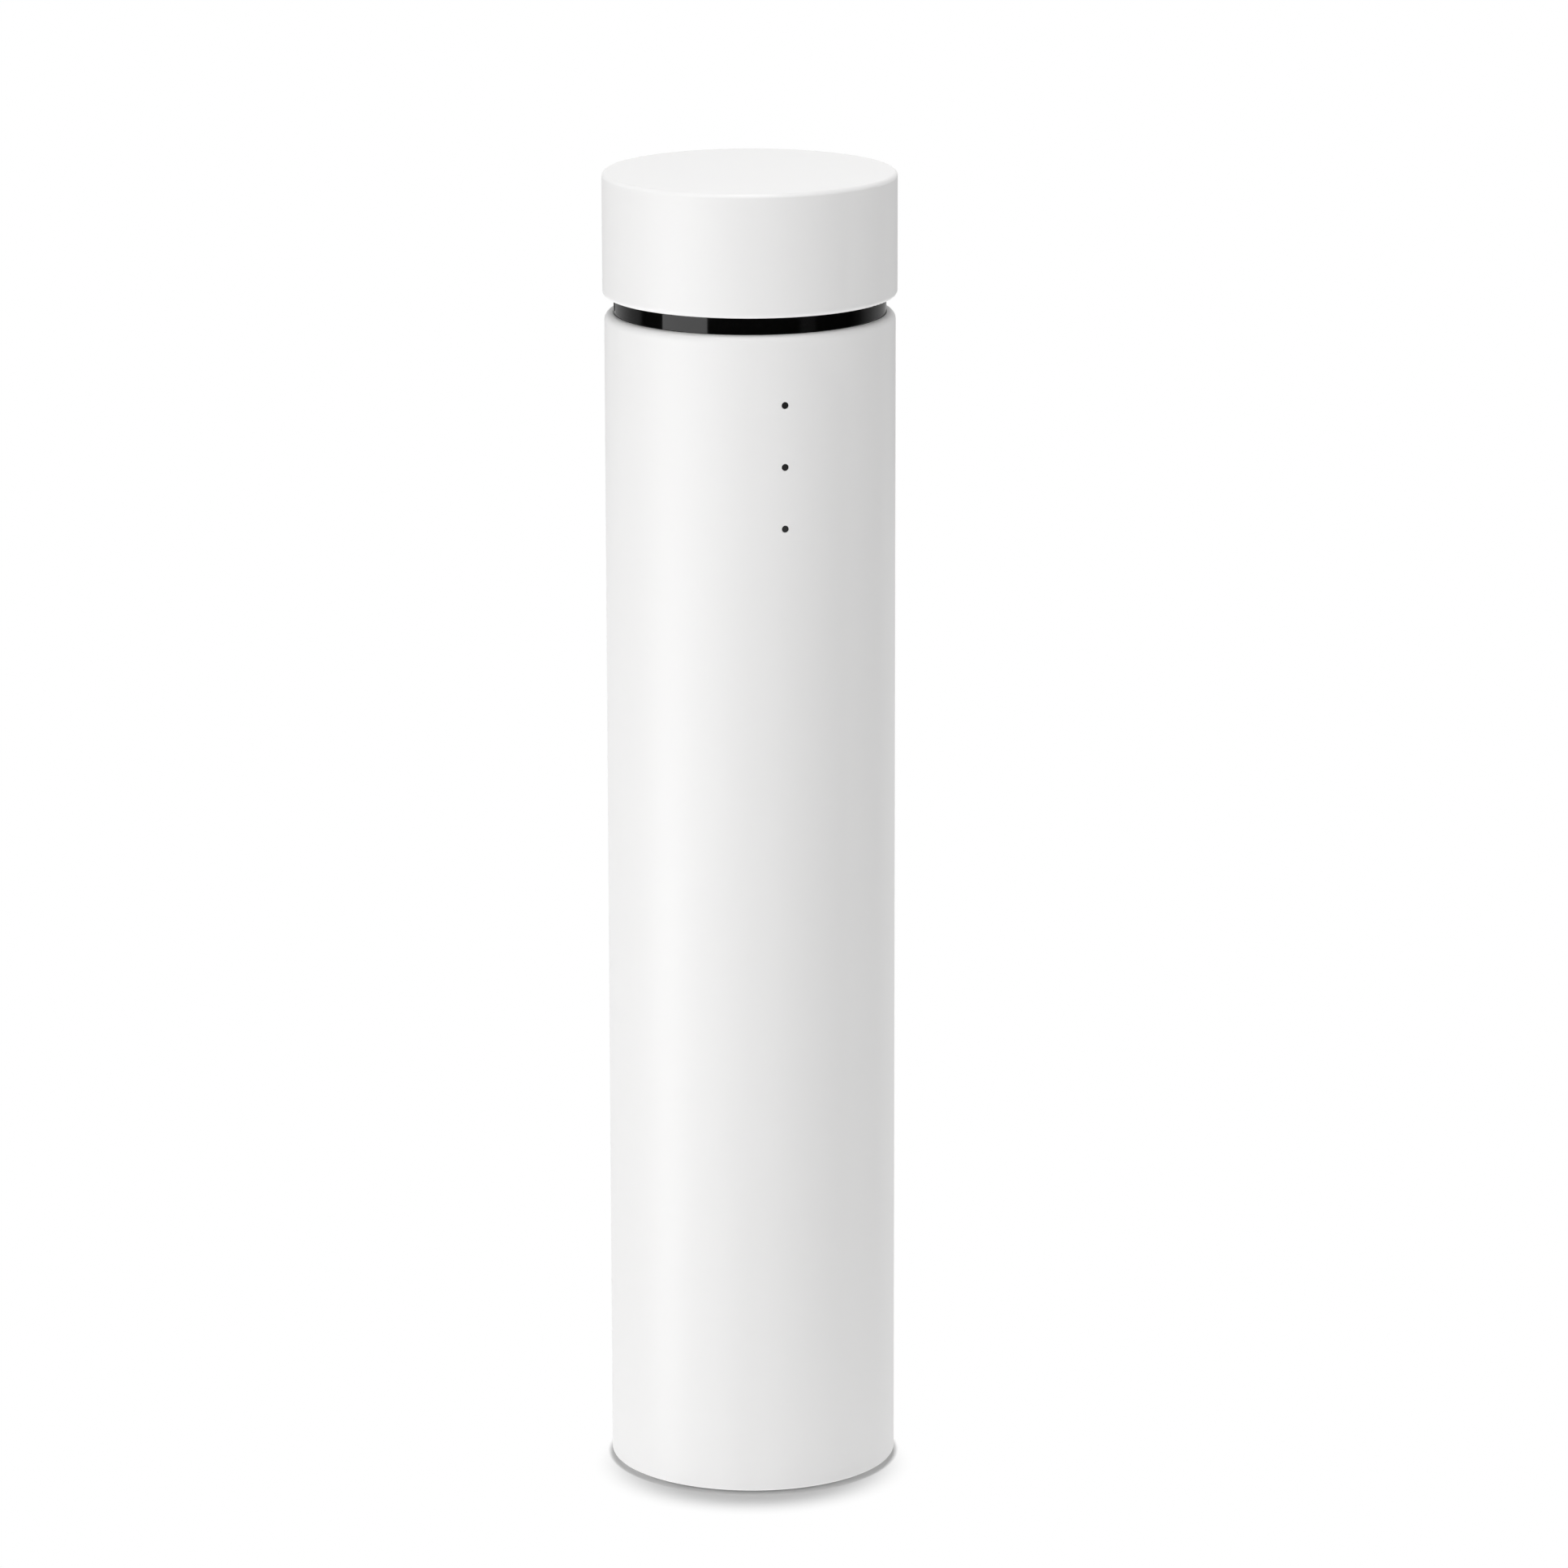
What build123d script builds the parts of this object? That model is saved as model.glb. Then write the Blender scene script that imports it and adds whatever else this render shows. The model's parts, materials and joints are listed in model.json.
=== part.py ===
from build123d import *
import os
from math import cos, radians, sin, sqrt

# Slim tower air purifier, in millimetres. +Z is up, the front with its three indicator dots
# faces -Y, and the origin is the centre of the footprint on the surface that it stands on.
# Air comes in through the slots low on the back, the fan lifts it into the core of the
# filter cartridge, it passes outwards through the carbon and the pleats, rises along the
# chassis tube and leaves through the ports in the back half of the black neck.

# ---------------------------------------------------------------- outside
height = 303.2  # surface to the top of the cap
body_radius = 33.0
body_wall = 2.0
cap_height = 28.0
neck_gap = 4.0  # height of the open band between body and cap
body_rim_fillet = 1.7
body_foot_fillet = 0.5
foot_gap = 1.0  # shadow gap under the body
cap_overhang = 0.4  # the cap's radius beyond the body's
cap_wall = 2.0
cap_top_fillet = 1.0
cap_edge_fillet = 1.0

# ---------------------------------------------------------------- clearances
running_gap = 0.3  # between pieces that move past each other
slip_gap = 0.1  # between fixed pieces that slide together
thread_gap = 0.05  # between a screw and its pilot hole, or a press-in piece and its bore
bearing_gap = 0.02  # shaft in its bearings

# ---------------------------------------------------------------- screw heads
recess_share = 0.56  # length of the cross, as a share of the head's diameter
recess_width = 0.5
recess_depth = 0.6

# ---------------------------------------------------------------- base
foot_width = 5.0
foot_recess = 1.2
foot_inset = 2.0  # from the inside of the body to the foot
foot_edge_fillet = 0.3
base_thickness = 3.0
base_ledge_height = 1.0
base_ledge_width = 0.5
stack_inset = 11.0  # from the inside of the body to the centres of the long base screws
stack_angle = 60.0
stack_count = 3
post_diameter = 6.4
base_screw_diameter = 2.5
base_screw_head_diameter = 5.0
base_screw_head_height = 1.4
base_screw_grip = 8.0  # thread length held in the chassis legs
ballast_thickness = 3.0
ballast_inset = 4.0  # from the inside of the body to the ballast
ballast_bore = 10.0
ballast_screw_radius = 12.0
ballast_screw_diameter = 2.0
ballast_screw_head_diameter = 4.0
ballast_screw_head_height = 1.2
ballast_screw_grip = 1.6

# ---------------------------------------------------------------- main board, inlet and button
board_height = 8.0  # from the base plate to the main board
board_thickness = 1.2
electronics_height = 8.8  # free height above the main board
inlet_width = 8.94
inlet_height = 3.26
inlet_depth = 7.2
inlet_wall = 0.3
inlet_set_back = 0.6  # from the outside of the body to the mouth
tongue_width = 6.7
tongue_thickness = 0.7
tongue_length = 5.4
button_diameter = 5.8
button_proud = 0.4
button_travel = 0.6
button_flange_diameter = 8.2
button_flange_thickness = 0.8
button_flange_inset = 0.8  # from the inside of the body to the flange
button_edge_fillet = 0.35
button_nose_diameter = 3.6
button_nose_length = 0.4
switch_width = 6.0
switch_height = 8.4
switch_depth = 3.5
plunger_diameter = 2.8
plunger_length = 2.8
capacitor_diameter = 6.3
capacitor_height = 7.7
capacitor_places = [(-12, -13), (-4, -16)]
inductor_size = 7.0
inductor_height = 4.5
inductor_place = (-10, 14)
chip_height = 1.1
controller_size = 7.0
controller_place = (4, 4)
driver_size = (5.0, 4.0)
driver_place = (-6, 3)
regulator_size = (4.0, 3.0)
regulator_place = (-2, 17)
connector_height = 2.8
connector_depth = 4.0
connector_width = 8.0
connector_inset = 1.5  # from the board's edge to the ribbon connector
fan_connector_size = 5.0

# ---------------------------------------------------------------- chassis
chassis_gap = 2.3  # between the body and the chassis tube
chassis_wall = 1.2
floor_thickness = 2.0
locator_inset = 0.6  # from the inside of the body to the locating flanges
intake_height = 52.0  # from the chassis floor to the fan deck
window_margin = 4.0
window_count = 5
window_pitch = 24.0  # degrees
window_rib = 1.9
deck_thickness = 2.0
prefilter_thickness = 1.4
prefilter_half_angle = 64.0
slot_columns = 15
slot_rows = 3
slot_pitch = 8.0  # degrees between the intake slots
slot_width = 2.2
slot_length = 13.0
slot_row_pitch = 16.0

# ---------------------------------------------------------------- fan and motor
fan_height = 20.0
duct_wall = 3.7
tip_gap = 0.5
blade_count = 7
tip_chord = 11.5
blade_thickness = 1.2
root_pitch = 38.0  # degrees from the plane of the fan
tip_pitch = 24.0
blade_height = 10.0  # from the fan deck to the middle of the blades
root_chord = 9.2
blade_corner = 0.8  # from the flat tip section in from the blade's swept radius
hub_clearance = 1.0  # between the bearing tube and the hub's roof
hub_radius = 11.5
hub_wall = 1.35
hub_roof = 1.4
hub_boss_radius = 2.6
motor_disc_radius = 11.0
motor_disc_thickness = 2.0
spoke_count = 3
spoke_width = 3.0
spoke_height = 2.5
spoke_angle = 30.0
bearing_tube_wall = 1.2
bearing_tube_height = 11.0
bearing_radius = 2.95
bearing_height = 2.3
shaft_radius = 1.0
motor_board_thickness = 1.0
motor_board_radius = 9.4
stator_radius = 8.0
stator_height = 6.0
stator_lift = 2.0  # from the motor board to the laminations
stator_ring = 1.0
tooth_count = 6
tooth_width = 2.2
shoe_thickness = 0.7
shoe_gap = 1.2
coil_wire = 0.9
coil_radial = 1.4
air_gap = 0.4
magnet_thickness = 1.15
magnet_height = 8.0
yoke_thickness = 0.5
fan_screw_diameter = 2.0
fan_screw_head_diameter = 3.2
fan_screw_head_height = 1.2
fan_screw_count = 3
fan_screw_angle = 90.0

# ---------------------------------------------------------------- filter cartridge
plenum_gap = 2.0  # between the chassis tube and the cartridge
seat_thickness = 2.0
seat_bore_gap = 0.15  # from the cartridge's core out to the bore of its seat
seal_thickness = 3.0
seal_inset = 1.0
end_cap_thickness = 2.0
media_depth = 11.65  # from the cartridge's outside in to its open core
carbon_thickness = 3.45
media_gap = 0.2
spigot_height = 4.0
spigot_wall = 1.1
cage_wall = 0.6
cage_inset = 0.2
cage_columns = 10
cage_rows = 5
cage_rib = 3.2
boss_height = 9.0
lug_count = 3
lug_reach = 2.4
lug_height = 2.0
lug_lift = 5.0  # from the top end cap to the underside of the lugs
lug_width = 4.4
lug_twist = 30.0  # degrees from locked to released

# ---------------------------------------------------------------- neck and cap insides
collar_wall = 1.8
collar_depth = 8.0  # from the body's rim down to the collar's lower edge
collar_cover = 8.8  # from the cap's lower edge up to the collar's top
chassis_below_rim = 3.2  # from the body's rim down to the top of the chassis
ledge_height = 1.5
ledge_width = 1.0
port_count = 23
port_pitch = 7.6  # degrees between the outlet ports
port_width = 2.4
port_height = 2.8
ring_radius = 0.6  # section of the sealing ring
ring_height = 4.4  # from the cap's lower edge to the sealing ring
rib_count = 6
rib_thickness = 1.2
rib_reach = 2.2
lug_clearance = 0.6  # from the lugs out to the inside of the hanger
hanger_wall = 2.2
hanger_flange_inset = 5.9  # from the inside of the cap to the hanger's flange
hanger_flange_thickness = 2.0
hanger_post_height = 7.2
hanger_lip = 2.7  # thickness of the rim under the lugs
hanger_drop = 1.0  # from the collar's lower edge down to the hanger's
hanger_circle_inset = 9.2  # from the inside of the cap to the hanger's screws
hanger_screw_diameter = 2.4
hanger_screw_head_diameter = 4.4
hanger_screw_head_height = 1.6
hanger_screw_grip = 5.0

# ---------------------------------------------------------------- indicators and leads
dot_diameter = 1.6
dot_spacing = 14.05
dot_drop = 29.8  # from the body's rim down to the middle dot
dot_count = 3
lens_recess = 0.15
lens_flange_diameter = 2.6
lens_flange_thickness = 0.45
led_thickness = 0.6
led_width = 1.6
led_length = 0.8
strip_width = 8.0
strip_thickness = 0.8
strip_margin_top = 2.2
strip_margin_bottom = 6.0
pad_rise = 0.2  # flat pad for the strip board, above the chassis tube
pad_width = 10.0
strip_screw_diameter = 1.4
strip_screw_head_diameter = 2.4
strip_screw_head_height = 0.7
strip_screw_grip = 1.0
ribbon_width = 5.0
ribbon_thickness = 0.4
ribbon_bend = 1.5
lead_diameter = 1.8
lead_offset = 8.3  # where the fan lead leaves the motor
lead_drop_offset = 17.0  # where it reaches the main board
lead_first_run = 16.0  # straight down from the motor
lead_slant = 20.0  # height of the slanting run
lead_bend = 30.0

# ---------------------------------------------------------------- worked-out radii
body_top = height - cap_height - neck_gap
cap_radius = body_radius + cap_overhang
body_inner = body_radius - body_wall
cap_inner = cap_radius - cap_wall
neck_radius = body_inner - slip_gap
base_radius = body_inner - slip_gap
foot_radius = body_inner - foot_inset
stack_circle = body_inner - stack_inset
hanger_circle = cap_inner - hanger_circle_inset
hanger_flange_radius = cap_inner - hanger_flange_inset
chassis_radius = body_inner - chassis_gap
chassis_inner = chassis_radius - chassis_wall
window_width = 2 * chassis_inner * sin(radians(window_pitch / 2)) - window_rib
locator_radius = body_inner - locator_inset
board_radius = chassis_radius
fan_frame_radius = chassis_inner - running_gap
duct_radius = fan_frame_radius - duct_wall
fan_screw_circle = (duct_radius + fan_frame_radius) / 2
cartridge_radius = chassis_inner - plenum_gap
core_radius = cartridge_radius - media_depth
seat_bore_radius = core_radius + seat_bore_gap
boss_radius = core_radius - thread_gap
hanger_radius = boss_radius + lug_reach + lug_clearance + hanger_wall
collar_inner = neck_radius - collar_wall
hub_inner = hub_radius - hub_wall
yoke_inner = stator_radius + air_gap + magnet_thickness + thread_gap
bearing_bore = bearing_radius + thread_gap
bearing_tube_radius = bearing_bore + bearing_tube_wall
cage_radius = cartridge_radius - cage_inset
pleat_radius = cage_radius - cage_wall - media_gap
pleat_inner = core_radius + carbon_thickness + media_gap

# ---------------------------------------------------------------- worked-out levels
base_top = foot_gap + base_thickness
board_bottom = base_top + board_height
board_top = board_bottom + board_thickness
floor_bottom = board_top + electronics_height
floor_top = floor_bottom + floor_thickness
deck_bottom = floor_top + intake_height
deck_top = deck_bottom + deck_thickness
motor_disc_top = deck_top + motor_disc_thickness
motor_board_top = motor_disc_top + motor_board_thickness
stator_bottom = motor_board_top + stator_lift
fan_top = deck_top + fan_height
seat_top = fan_top + seat_thickness
seal_bottom = seat_top + running_gap
cartridge_bottom = seal_bottom + seal_thickness
media_bottom = cartridge_bottom + end_cap_thickness
cap_bottom = body_top + neck_gap
dot_height = body_top - dot_drop
collar_bottom = body_top - collar_depth
collar_top = cap_bottom + collar_cover
chassis_top = body_top - chassis_below_rim
hanger_bottom = collar_bottom - hanger_drop
lug_bottom = hanger_bottom + hanger_lip + running_gap
cartridge_top = lug_bottom - lug_lift
media_top = cartridge_top - end_cap_thickness
cap_ceiling = height - cap_wall
hanger_top = cap_ceiling - hanger_post_height
intake_middle = (floor_top + deck_bottom) / 2
inlet_middle = board_bottom - inlet_height / 2
button_middle = board_top + switch_height / 2
strip_top = dot_height + dot_spacing + strip_margin_top
strip_bottom = dot_height - dot_spacing - strip_margin_bottom
strip_back = chassis_radius + pad_rise
strip_front = strip_back + strip_thickness
strip_screw_levels = (strip_bottom + strip_screw_head_diameter, dot_height + dot_spacing / 2)
notch_depth = locator_radius - strip_back + slip_gap

# ---------------------------------------------------------------- directions, in degrees from +X
front = -90.0
back = 90.0


def dot_levels():
    """Heights of the indicator dots, from the lowest up."""
    return [dot_height + (i - (dot_count - 1) / 2) * dot_spacing for i in range(dot_count)]


def radial_plane(angle, level, radius=0):
    """Plane that looks outwards at this angle from the +X axis, with its own Y upwards."""
    outwards = Vector(cos(radians(angle)), sin(radians(angle)), 0)
    sideways = (-sin(radians(angle)), cos(radians(angle)), 0)
    return Plane(origin=outwards * radius + Vector(0, 0, level), x_dir=sideways, z_dir=outwards)


def spread(count, pitch, middle=back):
    """Angles of a row of copies about the middle angle."""
    return [middle + (i - (count - 1) / 2) * pitch for i in range(count)]


def cross(head_diameter):
    """Outline of a screw's cross recess, in the sketch that is open."""
    Rectangle(recess_share * head_diameter, recess_width)
    Rectangle(recess_width, recess_share * head_diameter)


stack_places = PolarLocations(stack_circle, stack_count, stack_angle)
hanger_places = PolarLocations(hanger_circle, stack_count, stack_angle)
fan_screw_places = PolarLocations(fan_screw_circle, fan_screw_count, fan_screw_angle)

# ================================================================ outer casing
# White body tube: one extrusion with a soft rim, two inner ledges that the base plate and
# the collar clamp, the intake slots, the inlet and button openings, and the three dots.
with BuildPart() as body_shell:
    with BuildSketch(Plane.XY.offset(foot_gap)):
        Circle(body_radius)
    extrude(amount=body_top - foot_gap)
    rims = body_shell.edges().sort_by(Axis.Z)
    fillet(rims[-1], body_rim_fillet)
    fillet(body_shell.edges().sort_by(Axis.Z)[0], body_foot_fillet)
    with BuildSketch(Plane.XY.offset(foot_gap)):
        Circle(body_inner)
    extrude(amount=height, mode=Mode.SUBTRACT)
    with BuildSketch(Plane.XY.offset(base_top)):
        Circle(body_inner + body_wall / 2)
        Circle(body_inner - base_ledge_width, mode=Mode.SUBTRACT)
    extrude(amount=base_ledge_height)
    with BuildSketch(Plane.XY.offset(collar_bottom)):
        Circle(body_inner + body_wall / 2)
        Circle(body_inner - ledge_width, mode=Mode.SUBTRACT)
    extrude(amount=-ledge_height)
    for angle in spread(slot_columns, slot_pitch, back):
        with BuildSketch(radial_plane(angle, intake_middle, body_inner - body_wall)):
            with GridLocations(slot_width, slot_row_pitch, 1, slot_rows):
                SlotOverall(slot_length, slot_width, rotation=90)
        extrude(amount=3 * body_wall, mode=Mode.SUBTRACT)
    with BuildSketch(radial_plane(back, inlet_middle, body_inner - body_wall)):
        SlotOverall(inlet_width + 2 * slip_gap, inlet_height + 2 * slip_gap)
    extrude(amount=3 * body_wall, mode=Mode.SUBTRACT)
    with BuildSketch(radial_plane(back, button_middle, body_inner - body_wall)):
        Circle(button_diameter / 2 + running_gap)
    extrude(amount=3 * body_wall, mode=Mode.SUBTRACT)
    for level in dot_levels():
        with BuildSketch(radial_plane(front, level, body_inner - body_wall)):
            Circle(dot_diameter / 2)
        extrude(amount=3 * body_wall, mode=Mode.SUBTRACT)
body_shell.part.label = "body_shell"

# White cap: a cup, upside down, with stop ribs that stand over the collar and three posts
# for the screws of the filter hanger.
with BuildPart() as top_cap:
    with BuildSketch(Plane.XY.offset(cap_bottom)):
        Circle(cap_radius)
    extrude(amount=height - cap_bottom)
    fillet(top_cap.edges().sort_by(Axis.Z)[-1], cap_top_fillet)
    fillet(top_cap.edges().sort_by(Axis.Z)[0], cap_edge_fillet)
    with BuildSketch(Plane.XY.offset(cap_bottom)):
        Circle(cap_inner)
    extrude(amount=cap_ceiling - cap_bottom, mode=Mode.SUBTRACT)
    with BuildSketch(Plane.XY.offset(collar_top + running_gap)):
        with PolarLocations(cap_inner - rib_reach / 2 + cap_wall / 4, rib_count):
            Rectangle(rib_reach + cap_wall / 2, rib_thickness)
    extrude(amount=cap_ceiling - collar_top)
    with BuildSketch(Plane.XY.offset(hanger_top)):
        with hanger_places:
            Circle(post_diameter / 2)
    extrude(amount=hanger_post_height + cap_wall / 2)
    with BuildSketch(Plane.XY.offset(hanger_top)):
        with hanger_places:
            Circle(hanger_screw_diameter / 2 + thread_gap)
    extrude(amount=hanger_screw_grip + running_gap, mode=Mode.SUBTRACT)
top_cap.part.label = "top_cap"

# Glossy black collar: it stands on the body's upper ledge, grips the chassis tube inside,
# shows as the neck and reaches up into the cap. Ports in its back half let the air out.
with BuildPart() as collar_ring:
    with BuildSketch(Plane.XY.offset(collar_bottom)):
        Circle(neck_radius)
        Circle(chassis_radius + thread_gap, mode=Mode.SUBTRACT)
    extrude(amount=chassis_top - collar_bottom)
    with BuildSketch(Plane.XY.offset(chassis_top)):
        Circle(neck_radius)
        Circle(collar_inner - chassis_wall, mode=Mode.SUBTRACT)
    extrude(amount=chassis_wall)
    with BuildSketch(Plane.XY.offset(chassis_top + chassis_wall)):
        Circle(neck_radius)
        Circle(collar_inner, mode=Mode.SUBTRACT)
    extrude(amount=collar_top - chassis_top - chassis_wall)
    with BuildSketch(Plane.XY.offset(cap_bottom + ring_height - ring_radius - thread_gap)):
        Circle(neck_radius + slip_gap)
        Circle(neck_radius - 2 * ring_radius + slip_gap, mode=Mode.SUBTRACT)
    extrude(amount=2 * (ring_radius + thread_gap), mode=Mode.SUBTRACT)
    for angle in spread(port_count, port_pitch, back):
        with BuildSketch(radial_plane(angle, body_top + neck_gap / 2, collar_inner - collar_wall)):
            RectangleRounded(port_width, port_height, port_width / 4)
        extrude(amount=3 * collar_wall, mode=Mode.SUBTRACT)
collar_ring.part.label = "collar_ring"

# Rubber sealing ring in the collar's groove, hidden in the cap.
with BuildPart() as cap_seal:
    with BuildSketch(Plane.XZ):
        with Locations((neck_radius - ring_radius + 2 * slip_gap, cap_bottom + ring_height)):
            Circle(ring_radius)
    revolve(axis=Axis.Z)
cap_seal.part.label = "cap_seal"

# ================================================================ base
# Rubber foot ring, let into the underside of the base plate.
with BuildPart() as foot_ring:
    with BuildSketch():
        Circle(foot_radius)
        Circle(foot_radius - foot_width, mode=Mode.SUBTRACT)
    extrude(amount=foot_gap + foot_recess)
    fillet(foot_ring.edges().group_by(Axis.Z)[0], foot_edge_fillet)
foot_ring.part.label = "foot_ring"

with BuildPart() as base_plate:
    with BuildSketch(Plane.XY.offset(foot_gap)):
        Circle(base_radius)
    extrude(amount=base_thickness)
    with BuildSketch(Plane.XY.offset(foot_gap)):
        Circle(foot_radius + thread_gap)
        Circle(foot_radius - foot_width - thread_gap, mode=Mode.SUBTRACT)
    extrude(amount=foot_recess, mode=Mode.SUBTRACT)
    with BuildSketch(Plane.XY.offset(base_top)):
        with stack_places:
            Circle(post_diameter / 2)
    extrude(amount=board_height)
    with BuildSketch(Plane.XY.offset(foot_gap)):
        with stack_places:
            Circle(base_screw_diameter / 2 + slip_gap)
    extrude(amount=base_thickness + board_height, mode=Mode.SUBTRACT)
    with BuildSketch(Plane.XY.offset(foot_gap)):
        with stack_places:
            Circle(base_screw_head_diameter / 2 + slip_gap)
    extrude(amount=base_screw_head_height + slip_gap, mode=Mode.SUBTRACT)
    with BuildSketch(Plane.XY.offset(base_top)):
        with PolarLocations(ballast_screw_radius, 2):
            Circle(ballast_screw_diameter / 2 + thread_gap)
    extrude(amount=-ballast_screw_grip - slip_gap, mode=Mode.SUBTRACT)
base_plate.part.label = "base_plate"

# Steel disc that keeps the tall body upright.
with BuildPart() as ballast_plate:
    with BuildSketch(Plane.XY.offset(base_top)):
        Circle(body_inner - ballast_inset)
        Circle(ballast_bore / 2, mode=Mode.SUBTRACT)
        with stack_places:
            Circle(post_diameter / 2 + running_gap, mode=Mode.SUBTRACT)
        with PolarLocations(ballast_screw_radius, 2):
            Circle(ballast_screw_diameter / 2 + slip_gap, mode=Mode.SUBTRACT)
    extrude(amount=ballast_thickness)
ballast_plate.part.label = "ballast_plate"

with BuildPart() as ballast_screws:
    with BuildSketch(Plane.XY.offset(base_top - ballast_screw_grip)):
        with PolarLocations(ballast_screw_radius, 2):
            Circle(ballast_screw_diameter / 2)
    extrude(amount=ballast_screw_grip + ballast_thickness)
    with BuildSketch(Plane.XY.offset(base_top + ballast_thickness)):
        with PolarLocations(ballast_screw_radius, 2):
            Circle(ballast_screw_head_diameter / 2)
    extrude(amount=ballast_screw_head_height)
    with BuildSketch(Plane.XY.offset(base_top + ballast_thickness + ballast_screw_head_height)):
        with PolarLocations(ballast_screw_radius, 2):
            cross(ballast_screw_head_diameter)
    extrude(amount=-recess_depth, mode=Mode.SUBTRACT)
ballast_screws.part.label = "ballast_screws"

# Long screws that clamp base plate, main board and chassis legs in one stack.
with BuildPart() as base_screws:
    with BuildSketch(Plane.XY.offset(foot_gap + slip_gap)):
        with stack_places:
            Circle(base_screw_head_diameter / 2)
    extrude(amount=base_screw_head_height)
    with BuildSketch(Plane.XY.offset(foot_gap + slip_gap + base_screw_head_height)):
        with stack_places:
            Circle(base_screw_diameter / 2)
    extrude(amount=board_top + base_screw_grip - foot_gap - base_screw_head_height)
    with BuildSketch(Plane.XY.offset(foot_gap + slip_gap)):
        with stack_places:
            cross(base_screw_head_diameter)
    extrude(amount=recess_depth, mode=Mode.SUBTRACT)
base_screws.part.label = "base_screws"

# ================================================================ main board and its parts
with BuildPart() as main_board:
    with BuildSketch(Plane.XY.offset(board_bottom)):
        Circle(board_radius)
        with stack_places:
            Circle(base_screw_diameter / 2 + slip_gap, mode=Mode.SUBTRACT)
    extrude(amount=board_thickness)
main_board.part.label = "main_board"

with BuildPart() as board_capacitors:
    with BuildSketch(Plane.XY.offset(board_top)):
        with Locations(*capacitor_places):
            Circle(capacitor_diameter / 2)
    extrude(amount=capacitor_height)
    fillet(board_capacitors.edges().group_by(Axis.Z)[-1], capacitor_diameter / 12)
board_capacitors.part.label = "board_capacitors"

with BuildPart() as power_inductor:
    with BuildSketch(Plane.XY.offset(board_top)):
        with Locations(inductor_place):
            RectangleRounded(inductor_size, inductor_size, inductor_size / 6)
    extrude(amount=inductor_height)
power_inductor.part.label = "power_inductor"

with BuildPart() as board_chips:
    with BuildSketch(Plane.XY.offset(board_top)):
        with Locations(controller_place):
            Rectangle(controller_size, controller_size)
        with Locations(driver_place):
            Rectangle(*driver_size)
        with Locations(regulator_place):
            Rectangle(*regulator_size)
    extrude(amount=chip_height)
board_chips.part.label = "board_chips"

with BuildPart() as board_connectors:
    with BuildSketch(Plane.XY.offset(board_top)):
        with Locations((0, -board_radius + connector_inset + connector_depth / 2)):
            Rectangle(connector_width, connector_depth)
        with Locations((lead_drop_offset, 0)):
            Rectangle(fan_connector_size, fan_connector_size)
    extrude(amount=connector_height)
board_connectors.part.label = "board_connectors"

# Power inlet: a drawn steel shell with a closed back, and the contact tongue inside it.
inlet_mouth = body_radius - inlet_set_back
with BuildPart() as power_inlet:
    with BuildSketch(radial_plane(back, inlet_middle, inlet_mouth)):
        SlotOverall(inlet_width, inlet_height)
    extrude(amount=-inlet_depth)
    with BuildSketch(radial_plane(back, inlet_middle, inlet_mouth)):
        SlotOverall(inlet_width - 2 * inlet_wall, inlet_height - 2 * inlet_wall)
    extrude(amount=-inlet_depth + inlet_wall, mode=Mode.SUBTRACT)
power_inlet.part.label = "power_inlet"

with BuildPart() as inlet_tongue:
    with BuildSketch(radial_plane(back, inlet_middle, inlet_mouth - inlet_depth + inlet_wall)):
        RectangleRounded(tongue_width, tongue_thickness, tongue_thickness / 3)
    extrude(amount=tongue_length)
inlet_tongue.part.label = "inlet_tongue"

# Power button: a round cap through the body, its flange behind the wall, and a nose that
# meets the plunger of the side-acting switch on the main board.
flange_face = body_inner - button_flange_inset
flange_back = flange_face - button_flange_thickness
button_back = flange_back - button_nose_length
switch_face = button_back - button_travel - slip_gap - running_gap
with BuildPart() as power_button:
    with BuildSketch(radial_plane(back, button_middle, flange_face)):
        Circle(button_diameter / 2)
    extrude(amount=body_radius + button_proud - flange_face)
    fillet(power_button.edges().sort_by(Axis.Y)[-1], button_edge_fillet)
    with BuildSketch(radial_plane(back, button_middle, flange_back)):
        Circle(button_flange_diameter / 2)
    extrude(amount=button_flange_thickness)
    with BuildSketch(radial_plane(back, button_middle, button_back)):
        Circle(button_nose_diameter / 2)
    extrude(amount=button_nose_length)
power_button.part.label = "power_button"

with BuildPart() as switch_plunger:
    with BuildSketch(radial_plane(back, button_middle, button_back)):
        Circle(plunger_diameter / 2)
    extrude(amount=-plunger_length)
switch_plunger.part.label = "switch_plunger"

with BuildPart() as switch_body:
    with BuildSketch(radial_plane(back, button_middle, switch_face)):
        Rectangle(switch_width, switch_height)
    extrude(amount=-switch_depth)
    with BuildSketch(radial_plane(back, button_middle, switch_face)):
        Circle(plunger_diameter / 2 + running_gap)
    bore_end = button_back - plunger_length - button_travel - running_gap
    extrude(amount=bore_end - switch_face, mode=Mode.SUBTRACT)
switch_body.part.label = "switch_body"

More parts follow.
